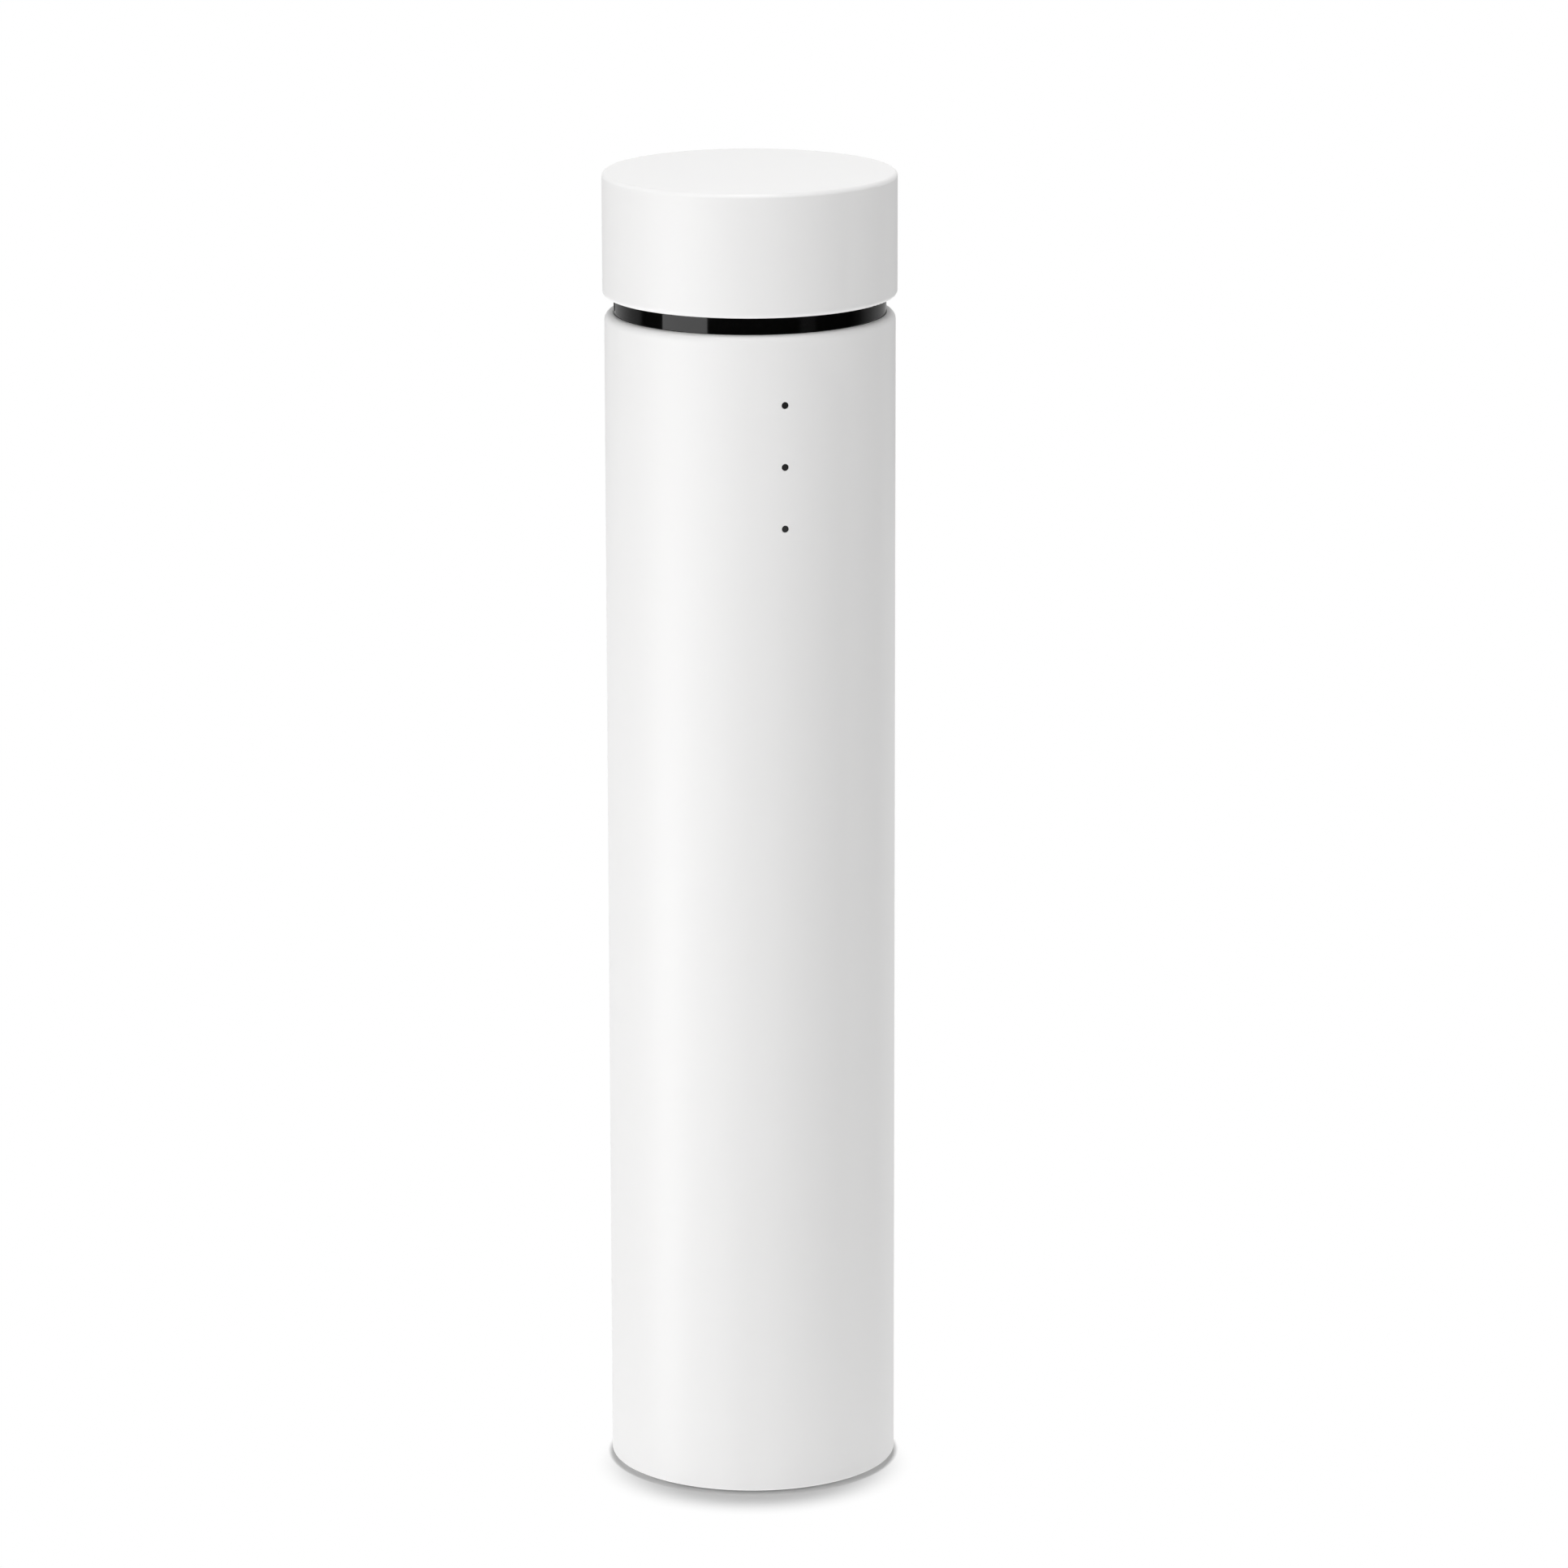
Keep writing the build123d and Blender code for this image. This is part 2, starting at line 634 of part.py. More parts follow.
# ================================================================ frame
# Lower moulding: three legs on the main board, a floor, the intake plenum with its windows
# and the fan deck.
with BuildPart() as intake_frame:
    with BuildSketch(Plane.XY.offset(board_top)):
        with stack_places:
            Circle(post_diameter / 2)
    extrude(amount=electronics_height)
    with BuildSketch(Plane.XY.offset(floor_bottom)):
        Circle(locator_radius)
    extrude(amount=floor_thickness)
    with BuildSketch(Plane.XY.offset(floor_top)):
        Circle(chassis_radius)
        Circle(chassis_inner, mode=Mode.SUBTRACT)
    extrude(amount=intake_height)
    with BuildSketch(Plane.XY.offset(deck_bottom)):
        Circle(locator_radius)
        Circle(duct_radius, mode=Mode.SUBTRACT)
    extrude(amount=deck_thickness)
    for angle in spread(window_count, window_pitch, back):
        with BuildSketch(radial_plane(angle, intake_middle, chassis_inner - chassis_wall)):
            Rectangle(window_width, intake_height - 2 * window_margin)
        extrude(amount=3 * chassis_wall, mode=Mode.SUBTRACT)
    with BuildSketch(Plane.XY.offset(board_top)):
        with stack_places:
            Circle(base_screw_diameter / 2 + thread_gap)
    extrude(amount=base_screw_grip + 2 * slip_gap + thread_gap, mode=Mode.SUBTRACT)
    with BuildSketch(Plane.XY.offset(deck_bottom)):
        with fan_screw_places:
            Circle(fan_screw_diameter / 2 + thread_gap)
    extrude(amount=deck_thickness, mode=Mode.SUBTRACT)
    with BuildSketch(Plane.XY.offset(floor_bottom)):
        with Locations((lead_drop_offset, 0)):
            Circle(lead_diameter)
    extrude(amount=floor_thickness, mode=Mode.SUBTRACT)
    with BuildSketch(Plane.XY.offset(floor_bottom)):
        with Locations((0, -strip_back - notch_depth / 2)):
            Rectangle(strip_width, notch_depth)
    extrude(amount=deck_top - floor_bottom, mode=Mode.SUBTRACT)
intake_frame.part.label = "intake_frame"

# Upper moulding: the tube around fan and cartridge, with a foot that stands on the deck and
# the flat pad for the indicator board.
with BuildPart() as filter_sleeve:
    with BuildSketch(Plane.XY.offset(deck_top)):
        Circle(locator_radius)
    extrude(amount=deck_thickness)
    with BuildSketch(Plane.XY.offset(deck_top)):
        Circle(chassis_radius)
    extrude(amount=chassis_top - deck_top)
    with BuildSketch(Plane.XY.offset(strip_bottom)):
        with Locations((0, -(chassis_inner + strip_back) / 2)):
            Rectangle(pad_width, strip_back - chassis_inner)
    extrude(amount=strip_top - strip_bottom)
    with BuildSketch(Plane.XY.offset(deck_top)):
        Circle(chassis_inner)
    extrude(amount=chassis_top - deck_top, mode=Mode.SUBTRACT)
    with BuildSketch(Plane.XY.offset(deck_top)):
        with Locations((0, -strip_back - notch_depth / 2)):
            Rectangle(strip_width, notch_depth)
    extrude(amount=deck_thickness, mode=Mode.SUBTRACT)
    for level in strip_screw_levels:
        with BuildSketch(radial_plane(front, level, strip_back)):
            Circle(strip_screw_diameter / 2 + thread_gap)
        extrude(amount=-strip_screw_grip - thread_gap, mode=Mode.SUBTRACT)
filter_sleeve.part.label = "filter_sleeve"

# Washable mesh that lines the intake, between the two locating flanges.
with BuildPart() as prefilter_mesh:
    reach = 3 * body_radius
    wedge_x = reach * sin(radians(prefilter_half_angle))
    wedge_y = reach * cos(radians(prefilter_half_angle))
    with BuildSketch(Plane.XY.offset(floor_top + slip_gap)):
        Circle(chassis_radius + slip_gap + prefilter_thickness)
        Circle(chassis_radius + slip_gap, mode=Mode.SUBTRACT)
        with BuildLine():
            Polyline((0, 0), (wedge_x, wedge_y), (-wedge_x, wedge_y), close=True)
        make_face(mode=Mode.INTERSECT)
    extrude(amount=intake_height - 2 * slip_gap)
prefilter_mesh.part.label = "prefilter_mesh"

# ================================================================ fan
with BuildPart() as fan_housing:
    with BuildSketch(Plane.XY.offset(deck_top)):
        Circle(fan_frame_radius)
        Circle(duct_radius, mode=Mode.SUBTRACT)
    extrude(amount=fan_height)
    for angle in spread(spoke_count, 360 / spoke_count, spoke_angle):
        with BuildSketch(radial_plane(angle, deck_top + spoke_height / 2, motor_disc_radius / 2)):
            Rectangle(spoke_width, spoke_height)
        extrude(amount=duct_radius - motor_disc_radius / 2 + 1)
    with BuildSketch(Plane.XY.offset(deck_top)):
        Circle(motor_disc_radius)
    extrude(amount=motor_disc_thickness)
    with BuildSketch(Plane.XY.offset(motor_disc_top)):
        Circle(motor_board_radius + 2 * slip_gap)
    extrude(amount=spoke_height, mode=Mode.SUBTRACT)
    with BuildSketch(Plane.XY.offset(motor_disc_top)):
        Circle(bearing_tube_radius)
    extrude(amount=bearing_tube_height)
    with BuildSketch(Plane.XY.offset(motor_disc_top)):
        Circle(bearing_bore)
    extrude(amount=bearing_tube_height, mode=Mode.SUBTRACT)
    with BuildSketch(Plane.XY.offset(deck_top)):
        with Locations((lead_offset, 0)):
            Circle(lead_diameter / 2 + running_gap)
    extrude(amount=motor_disc_thickness, mode=Mode.SUBTRACT)
    with BuildSketch(Plane.XY.offset(deck_top)):
        with fan_screw_places:
            Circle(fan_screw_diameter / 2 + slip_gap)
    extrude(amount=fan_height, mode=Mode.SUBTRACT)
    with BuildSketch(Plane.XY.offset(fan_top)):
        with fan_screw_places:
            Circle(fan_screw_head_diameter / 2 + slip_gap)
    extrude(amount=-fan_screw_head_height - slip_gap, mode=Mode.SUBTRACT)
fan_housing.part.label = "fan_housing"

with BuildPart() as fan_screws:
    head_bottom = fan_top - slip_gap - fan_screw_head_height
    with BuildSketch(Plane.XY.offset(head_bottom)):
        with fan_screw_places:
            Circle(fan_screw_head_diameter / 2)
    extrude(amount=fan_screw_head_height)
    with BuildSketch(Plane.XY.offset(head_bottom)):
        with fan_screw_places:
            Circle(fan_screw_diameter / 2)
    extrude(amount=deck_bottom + slip_gap - head_bottom)
    with BuildSketch(Plane.XY.offset(head_bottom + fan_screw_head_height)):
        with fan_screw_places:
            cross(fan_screw_head_diameter)
    extrude(amount=-recess_depth, mode=Mode.SUBTRACT)
fan_screws.part.label = "fan_screws"

with BuildPart() as motor_board:
    with BuildSketch(Plane.XY.offset(motor_disc_top)):
        Circle(motor_board_radius)
        Circle(bearing_tube_radius + slip_gap, mode=Mode.SUBTRACT)
    extrude(amount=motor_board_thickness)
motor_board.part.label = "motor_board"

# Stator: a ring on the bearing tube, parallel teeth and curved shoes.
ring_outer = bearing_tube_radius + thread_gap + stator_ring
shoe_inner = stator_radius - shoe_thickness
tooth_length = shoe_inner + shoe_thickness / 2 - ring_outer + stator_ring / 2
with BuildPart() as stator_core:
    with BuildSketch(Plane.XY.offset(stator_bottom)):
        Circle(stator_radius)
        Circle(shoe_inner, mode=Mode.SUBTRACT)
        with PolarLocations(stator_radius, tooth_count, 180 / tooth_count):
            Rectangle(4 * shoe_thickness, shoe_gap, mode=Mode.SUBTRACT)
        Circle(ring_outer)
        with PolarLocations(ring_outer - stator_ring / 2 + tooth_length / 2, tooth_count):
            Rectangle(tooth_length, tooth_width)
        Circle(ring_outer - stator_ring, mode=Mode.SUBTRACT)
    extrude(amount=stator_height)
stator_core.part.label = "stator_core"

coil_half_width = tooth_width / 2 + coil_wire + thread_gap
coil_outer = sqrt(shoe_inner**2 - coil_half_width**2) - thread_gap
coil_middle = coil_outer - coil_radial / 2
with BuildPart() as stator_coils:
    with BuildSketch(Plane.XY.offset(stator_bottom - coil_wire - thread_gap)):
        with PolarLocations(coil_middle, tooth_count):
            Rectangle(coil_radial, 2 * coil_half_width)
    extrude(amount=stator_height + 2 * (coil_wire + thread_gap))
    with BuildSketch(Plane.XY.offset(stator_bottom - thread_gap)):
        with PolarLocations(coil_middle, tooth_count):
            Rectangle(2 * coil_radial, tooth_width + 2 * thread_gap)
    extrude(amount=stator_height + 2 * thread_gap, mode=Mode.SUBTRACT)
stator_coils.part.label = "stator_coils"

# Two ball bearings with a spacer between them.
upper_bearing_bottom = motor_disc_top + bearing_tube_height - 2 * bearing_gap - bearing_height
spacer_bottom = motor_disc_top + bearing_height
with BuildPart() as lower_bearing:
    with BuildSketch(Plane.XY.offset(motor_disc_top)):
        Circle(bearing_radius)
        Circle(shaft_radius + bearing_gap, mode=Mode.SUBTRACT)
    extrude(amount=bearing_height)
lower_bearing.part.label = "lower_bearing"

with BuildPart() as upper_bearing:
    with BuildSketch(Plane.XY.offset(upper_bearing_bottom)):
        Circle(bearing_radius)
        Circle(shaft_radius + bearing_gap, mode=Mode.SUBTRACT)
    extrude(amount=bearing_height)
upper_bearing.part.label = "upper_bearing"

with BuildPart() as bearing_spacer:
    with BuildSketch(Plane.XY.offset(spacer_bottom)):
        Circle(bearing_radius)
        Circle(bearing_radius - bearing_tube_wall / 2, mode=Mode.SUBTRACT)
    extrude(amount=upper_bearing_bottom - spacer_bottom)
bearing_spacer.part.label = "bearing_spacer"

# Rotor: hub cup with its blades, steel yoke, ring magnet and shaft.
hub_bottom = motor_board_top + 2 * running_gap
hub_ceiling = motor_disc_top + bearing_tube_height + hub_clearance
hub_top = hub_ceiling + hub_roof
root_radius = hub_inner + hub_wall / 4
tip_radius = duct_radius - tip_gap - blade_corner
with BuildPart() as fan_rotor:
    for angle in spread(blade_count, 360 / blade_count):
        blade_plane = radial_plane(angle, deck_top + blade_height)
        with BuildSketch(blade_plane.offset(root_radius)):
            SlotOverall(root_chord, blade_thickness, rotation=root_pitch)
        with BuildSketch(blade_plane.offset(tip_radius)):
            SlotOverall(tip_chord, blade_thickness, rotation=tip_pitch)
        loft()
    with BuildSketch(Plane.XY.offset(hub_bottom)):
        Circle(hub_radius)
    extrude(amount=hub_top - hub_bottom)
    fillet(fan_rotor.edges().filter_by(GeomType.CIRCLE).sort_by(Axis.Z)[-1], hub_roof / 2)
    with BuildSketch(Plane.XY.offset(hub_bottom)):
        Circle(hub_inner)
    extrude(amount=hub_ceiling - hub_bottom, mode=Mode.SUBTRACT)
    with BuildSketch(Plane.XY.offset(hub_ceiling - running_gap)):
        Circle(hub_boss_radius)
    extrude(amount=running_gap + hub_roof / 2)
    with BuildSketch(Plane.XY.offset(hub_bottom)):
        Circle(shaft_radius + bearing_gap)
    extrude(amount=hub_top - hub_roof / 2 - hub_bottom, mode=Mode.SUBTRACT)
fan_rotor.part.label = "fan_rotor"

with BuildPart() as rotor_yoke:
    with BuildSketch(Plane.XY.offset(hub_bottom)):
        Circle(yoke_inner + yoke_thickness)
        Circle(yoke_inner, mode=Mode.SUBTRACT)
    extrude(amount=hub_ceiling - hub_bottom)
rotor_yoke.part.label = "rotor_yoke"

with BuildPart() as magnet_ring:
    with BuildSketch(Plane.XY.offset(stator_bottom + stator_height / 2 - magnet_height / 2)):
        Circle(yoke_inner - thread_gap)
        Circle(yoke_inner - thread_gap - magnet_thickness, mode=Mode.SUBTRACT)
    extrude(amount=magnet_height)
magnet_ring.part.label = "magnet_ring"

with BuildPart() as fan_shaft:
    with BuildSketch(Plane.XY.offset(motor_disc_top + running_gap)):
        Circle(shaft_radius)
    extrude(amount=hub_top - hub_roof / 2 - motor_disc_top - running_gap)
fan_shaft.part.label = "fan_shaft"

# ================================================================ filter cartridge
# Plate on the fan that leads the air into the cartridge's core.
with BuildPart() as filter_seat:
    with BuildSketch(Plane.XY.offset(fan_top)):
        Circle(fan_frame_radius)
        Circle(seat_bore_radius, mode=Mode.SUBTRACT)
    extrude(amount=seat_thickness)
filter_seat.part.label = "filter_seat"

with BuildPart() as filter_seal:
    with BuildSketch(Plane.XY.offset(seal_bottom)):
        Circle(cartridge_radius - seal_inset)
        Circle(seat_bore_radius + seal_inset, mode=Mode.SUBTRACT)
    extrude(amount=seal_thickness)
filter_seal.part.label = "filter_seal"

with BuildPart() as lower_end_cap:
    with BuildSketch(Plane.XY.offset(cartridge_bottom)):
        Circle(cartridge_radius)
    extrude(amount=end_cap_thickness)
    with BuildSketch(Plane.XY.offset(media_bottom)):
        Circle(core_radius - slip_gap)
    extrude(amount=spigot_height)
    with BuildSketch(Plane.XY.offset(cartridge_bottom)):
        Circle(core_radius - slip_gap - spigot_wall)
    extrude(amount=end_cap_thickness + spigot_height, mode=Mode.SUBTRACT)
lower_end_cap.part.label = "lower_end_cap"

# Closed end cap with the boss and the three bayonet lugs that hang in the cap.
with BuildPart() as upper_end_cap:
    with BuildSketch(Plane.XY.offset(media_top)):
        Circle(cartridge_radius)
    extrude(amount=end_cap_thickness)
    with BuildSketch(Plane.XY.offset(media_top)):
        Circle(core_radius - slip_gap)
        Circle(core_radius - slip_gap - spigot_wall, mode=Mode.SUBTRACT)
    extrude(amount=-spigot_height)
    with BuildSketch(Plane.XY.offset(cartridge_top)):
        Circle(boss_radius)
        Circle(boss_radius - spigot_wall, mode=Mode.SUBTRACT)
    extrude(amount=boss_height)
    with BuildSketch(Plane.XY.offset(lug_bottom)):
        with PolarLocations(boss_radius + lug_reach / 2 - spigot_wall / 4, lug_count):
            Rectangle(lug_reach + spigot_wall / 2, lug_width)
    extrude(amount=lug_height)
upper_end_cap.part.label = "upper_end_cap"

with BuildPart() as pleated_filter:
    with BuildSketch(Plane.XY.offset(media_bottom)):
        Circle(pleat_radius)
        Circle(pleat_inner, mode=Mode.SUBTRACT)
    extrude(amount=media_top - media_bottom)
pleated_filter.part.label = "pleated_filter"

with BuildPart() as carbon_core:
    with BuildSketch(Plane.XY.offset(media_bottom)):
        Circle(core_radius + carbon_thickness)
        Circle(core_radius, mode=Mode.SUBTRACT)
    extrude(amount=media_top - media_bottom)
carbon_core.part.label = "carbon_core"

# Open cage that keeps the pleats in shape.
cage_row_height = (media_top - media_bottom) / cage_rows
cage_window = 2 * cage_radius * sin(radians(180 / cage_columns)) - cage_rib
with BuildPart() as filter_cage:
    with BuildSketch(Plane.XY.offset(media_bottom)):
        Circle(cage_radius)
        Circle(cage_radius - cage_wall, mode=Mode.SUBTRACT)
    extrude(amount=media_top - media_bottom)
    for angle in spread(cage_columns, 360 / cage_columns):
        cage_middle = (media_bottom + media_top) / 2
        with BuildSketch(radial_plane(angle, cage_middle, cage_radius - 2 * cage_wall)):
            with GridLocations(cage_window, cage_row_height, 1, cage_rows):
                Rectangle(cage_window, cage_row_height - cage_rib)
        extrude(amount=4 * cage_wall, mode=Mode.SUBTRACT)
filter_cage.part.label = "filter_cage"

# Hanger screwed into the cap: a flange, a tube and a bayonet groove for the lugs. The
# entry notches lie one twist away from the locked place.
groove_radius = boss_radius + lug_reach + 2 * running_gap
groove_top = lug_bottom + lug_height + running_gap
with BuildPart() as filter_hanger:
    with BuildSketch(Plane.XY.offset(hanger_bottom)):
        Circle(hanger_radius)
    extrude(amount=hanger_top - hanger_bottom)
    with BuildSketch(Plane.XY.offset(hanger_top - hanger_flange_thickness)):
        Circle(hanger_flange_radius)
    extrude(amount=hanger_flange_thickness)
    with BuildSketch(Plane.XY.offset(hanger_bottom)):
        Circle(boss_radius + running_gap)
    extrude(amount=groove_top + hanger_lip - hanger_bottom, mode=Mode.SUBTRACT)
    with BuildSketch(Plane.XY.offset(lug_bottom - running_gap)):
        Circle(groove_radius)
    extrude(amount=groove_top - lug_bottom + running_gap, mode=Mode.SUBTRACT)
    with BuildSketch(Plane.XY.offset(groove_top + hanger_lip)):
        Circle(hanger_radius - hanger_wall)
    extrude(amount=hanger_top - groove_top, mode=Mode.SUBTRACT)
    with BuildSketch(Plane.XY.offset(hanger_bottom)):
        with PolarLocations(boss_radius + lug_reach / 2, lug_count, lug_twist):
            Rectangle(lug_reach + 3 * running_gap, lug_width + 4 * running_gap)
    extrude(amount=hanger_lip, mode=Mode.SUBTRACT)
    with BuildSketch(Plane.XY.offset(hanger_top - hanger_flange_thickness)):
        with hanger_places:
            Circle(hanger_screw_diameter / 2 + slip_gap)
    extrude(amount=hanger_flange_thickness, mode=Mode.SUBTRACT)
filter_hanger.part.label = "filter_hanger"

with BuildPart() as hanger_screws:
    with BuildSketch(Plane.XY.offset(hanger_top - hanger_flange_thickness)):
        with hanger_places:
            Circle(hanger_screw_head_diameter / 2)
    extrude(amount=-hanger_screw_head_height)
    with BuildSketch(Plane.XY.offset(hanger_top - hanger_flange_thickness)):
        with hanger_places:
            Circle(hanger_screw_diameter / 2)
    extrude(amount=hanger_flange_thickness + hanger_screw_grip)
    head_face = hanger_top - hanger_flange_thickness - hanger_screw_head_height
    with BuildSketch(Plane.XY.offset(head_face)):
        with hanger_places:
            cross(hanger_screw_head_diameter)
    extrude(amount=recess_depth, mode=Mode.SUBTRACT)
hanger_screws.part.label = "hanger_screws"

# ================================================================ indicators and leads
with BuildPart() as indicator_board:
    with BuildSketch(Plane.XY.offset(strip_bottom)):
        with Locations((0, -(strip_back + strip_front) / 2)):
            Rectangle(strip_width, strip_thickness)
    extrude(amount=strip_top - strip_bottom)
    for level in strip_screw_levels:
        with BuildSketch(radial_plane(front, level, strip_front)):
            Circle(strip_screw_diameter / 2 + slip_gap)
        extrude(amount=-strip_thickness, mode=Mode.SUBTRACT)
indicator_board.part.label = "indicator_board"

with BuildPart() as indicator_screws:
    for level in strip_screw_levels:
        with BuildSketch(radial_plane(front, level, strip_front)):
            Circle(strip_screw_head_diameter / 2)
        extrude(amount=strip_screw_head_height)
        with BuildSketch(radial_plane(front, level, strip_front)):
            Circle(strip_screw_diameter / 2)
        extrude(amount=-strip_thickness - strip_screw_grip)
indicator_screws.part.label = "indicator_screws"

with BuildPart() as indicator_leds:
    for level in dot_levels():
        with BuildSketch(radial_plane(front, level, strip_front)):
            Rectangle(led_width, led_length)
        extrude(amount=led_thickness)
indicator_leds.part.label = "indicator_leds"

# Smoked lenses: a thin pin in the wall and a flange behind it.
lens_back = body_inner - lens_flange_thickness - thread_gap
with BuildPart() as indicator_lenses:
    for level in dot_levels():
        with BuildSketch(radial_plane(front, level, lens_back)):
            Circle(lens_flange_diameter / 2)
        extrude(amount=lens_flange_thickness)
        with BuildSketch(radial_plane(front, level, lens_back)):
            Circle(dot_diameter / 2 - thread_gap)
        extrude(amount=body_radius - lens_recess - lens_back)
indicator_lenses.part.label = "indicator_lenses"

# Flat ribbon from the indicator board down the front of the chassis to the main board.
ribbon_line = -(strip_back + strip_thickness / 2)
ribbon_end = -board_radius + connector_inset
ribbon_level = board_top + connector_height / 2
with BuildPart() as ribbon_cable:
    with BuildSketch(Plane.YZ):
        with BuildLine():
            corner = FilletPolyline(
                (ribbon_line, strip_bottom),
                (ribbon_line, ribbon_level),
                (ribbon_end, ribbon_level),
                radius=ribbon_bend,
            )
        trace(line_width=ribbon_thickness)
    extrude(amount=ribbon_width / 2, both=True)
ribbon_cable.part.label = "ribbon_cable"

# Fan lead: from the motor board through the plenum and the floor to its connector.
lead_top = motor_disc_top
lead_bottom = board_top + connector_height
lead_points = [
    (lead_offset, 0, lead_top),
    (lead_offset, 0, lead_top - lead_first_run),
    (lead_drop_offset, 0, lead_top - lead_first_run - lead_slant),
    (lead_drop_offset, 0, lead_bottom),
]
with BuildPart() as fan_lead:
    with BuildLine() as lead_route:
        FilletPolyline(*lead_points, radius=lead_bend)
    with BuildSketch(Plane(origin=lead_points[0], z_dir=(0, 0, -1))):
        Circle(lead_diameter / 2)
    sweep(path=lead_route.line)
fan_lead.part.label = "fan_lead"

# ================================================================ files
pieces = [
    body_shell, top_cap, collar_ring, cap_seal, foot_ring, base_plate, ballast_plate,
    ballast_screws, base_screws, main_board, board_capacitors, power_inductor, board_chips,
    board_connectors, power_inlet, inlet_tongue, power_button, switch_plunger, switch_body,
    intake_frame, filter_sleeve, prefilter_mesh, fan_housing, fan_screws, motor_board, stator_core, stator_coils,
    lower_bearing, upper_bearing, bearing_spacer, fan_rotor, rotor_yoke, magnet_ring, fan_shaft,
    filter_seat, filter_seal, lower_end_cap, upper_end_cap, pleated_filter, carbon_core,
    filter_cage, filter_hanger, hanger_screws, indicator_board, indicator_screws,
    indicator_leds, indicator_lenses, ribbon_cable, fan_lead,
]
os.makedirs("parts", exist_ok=True)
for piece in pieces:
    export_step(piece.part, f"parts/{piece.part.label}.step")
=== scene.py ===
# %% [markdown]
# # Slim tower air purifier, dressed in Blender
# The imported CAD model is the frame: every solid at its real size, on the body that it moves
# with. This lesson gives each solid its finish, rebuilds the pieces whose fine form CAD leaves
# plain (slotted shell, pleats, net, windings), and lights them in a small white studio. Lengths
# are metres, and the outlines of new pieces millimetres. +Z is up, and the front, with three
# indicator dots, faces -Y.

# %% Load the frame
import json
from math import radians

import bmesh
import bpy
import numpy as np
from mathutils import Matrix, Vector


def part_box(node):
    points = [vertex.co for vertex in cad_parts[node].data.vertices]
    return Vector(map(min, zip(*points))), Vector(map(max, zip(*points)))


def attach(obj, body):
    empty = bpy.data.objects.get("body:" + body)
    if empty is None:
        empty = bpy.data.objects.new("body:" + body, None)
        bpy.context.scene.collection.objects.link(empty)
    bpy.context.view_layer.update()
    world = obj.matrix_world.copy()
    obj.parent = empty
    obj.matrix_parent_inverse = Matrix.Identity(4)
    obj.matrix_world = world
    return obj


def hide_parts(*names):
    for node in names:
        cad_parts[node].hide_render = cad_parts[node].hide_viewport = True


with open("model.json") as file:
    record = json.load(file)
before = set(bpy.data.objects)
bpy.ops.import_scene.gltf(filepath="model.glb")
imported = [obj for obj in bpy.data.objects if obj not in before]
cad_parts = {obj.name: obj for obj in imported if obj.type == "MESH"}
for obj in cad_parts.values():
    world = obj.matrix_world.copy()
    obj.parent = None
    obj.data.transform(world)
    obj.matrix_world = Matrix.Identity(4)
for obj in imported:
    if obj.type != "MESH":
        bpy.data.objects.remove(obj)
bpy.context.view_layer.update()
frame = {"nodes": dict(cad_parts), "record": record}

# %% [markdown]
# ## The camera
# A long lens from a little above keeps the sides of the tall tube nearly parallel. It sees the
# object from slightly to the left of its dots, which lie on the front line of the tube.

# %% Set the camera
camera_place = Vector((-0.3935, -1.6183, 0.5673))
camera_turn = radians(-13.925)
camera_pitch = radians(90 - 13.714)
camera_roll = radians(-0.102)
focal_length = 171.17

scene = bpy.context.scene
camera = bpy.data.objects.new("camera", bpy.data.cameras.new("camera"))
camera.data.lens = focal_length
camera.data.sensor_width = 36.0
camera.data.clip_end = 50.0
camera.matrix_world = (Matrix.Translation(camera_place)
                       @ Matrix.Rotation(camera_turn, 4, "Z")
                       @ Matrix.Rotation(camera_pitch, 4, "X")
                       @ Matrix.Rotation(camera_roll, 4, "Z"))
scene.collection.objects.link(camera)
scene.camera = camera
print("camera stands", round(camera_place.length, 3), "m from the object's foot")

# %% [markdown]
# ## The studio
# A white cylinder only looks round in uneven light. A tall soft box on the left makes the broad
# highlight, and a low strip carries it down to the foot. A box high in front catches the rounded
# edges, others behind and on the right keep the dark side soft, and a distant lamp above
# lights the top. The strip only shows in reflections and the box behind only lights, which
# keeps its mirror image off the top. Boxes are given by the radiance of their face, because a
# polished piece shows that times its reflectance.

# %% Hang the lamps
scene.view_settings.view_transform = "Standard"
towards_camera = np.arctan2(camera_place.y, camera_place.x)
object_middle = Vector((0, 0, 0.15))
sky_level = 0.33
soft_boxes = [
    # name, bearing, elevation, distance, width, height, radiance
    ("key_box", -56.5, -1.5, 0.65, 0.50, 0.58, 1.82),
    ("strip_box", -70, -20, 0.65, 0.20, 0.24, 4.6),
    ("rim_box", 0, 68, 1.00, 0.80, 0.40, 4.4),
    ("side_box", 55, 30, 1.10, 0.50, 0.50, 0.12),
    ("rear_box", 178, 30, 1.10, 0.70, 0.50, 1.6),
]


def hang(name, lamp, bearing, elevation, distance):
    """Place a lamp on a sphere about the object's middle and aim it there. The bearing is in
    degrees anticlockwise of the camera, seen from above."""
    turn = towards_camera + radians(bearing)
    rise = radians(elevation)
    outwards = Vector((np.cos(rise) * np.cos(turn), np.cos(rise) * np.sin(turn), np.sin(rise)))
    holder = bpy.data.objects.new(name, lamp)
    holder.matrix_world = (Matrix.Translation(object_middle + distance * outwards)
                           @ Matrix.Rotation(turn + radians(90), 4, "Z")
                           @ Matrix.Rotation(radians(90) - rise, 4, "X"))
    scene.collection.objects.link(holder)
    return holder


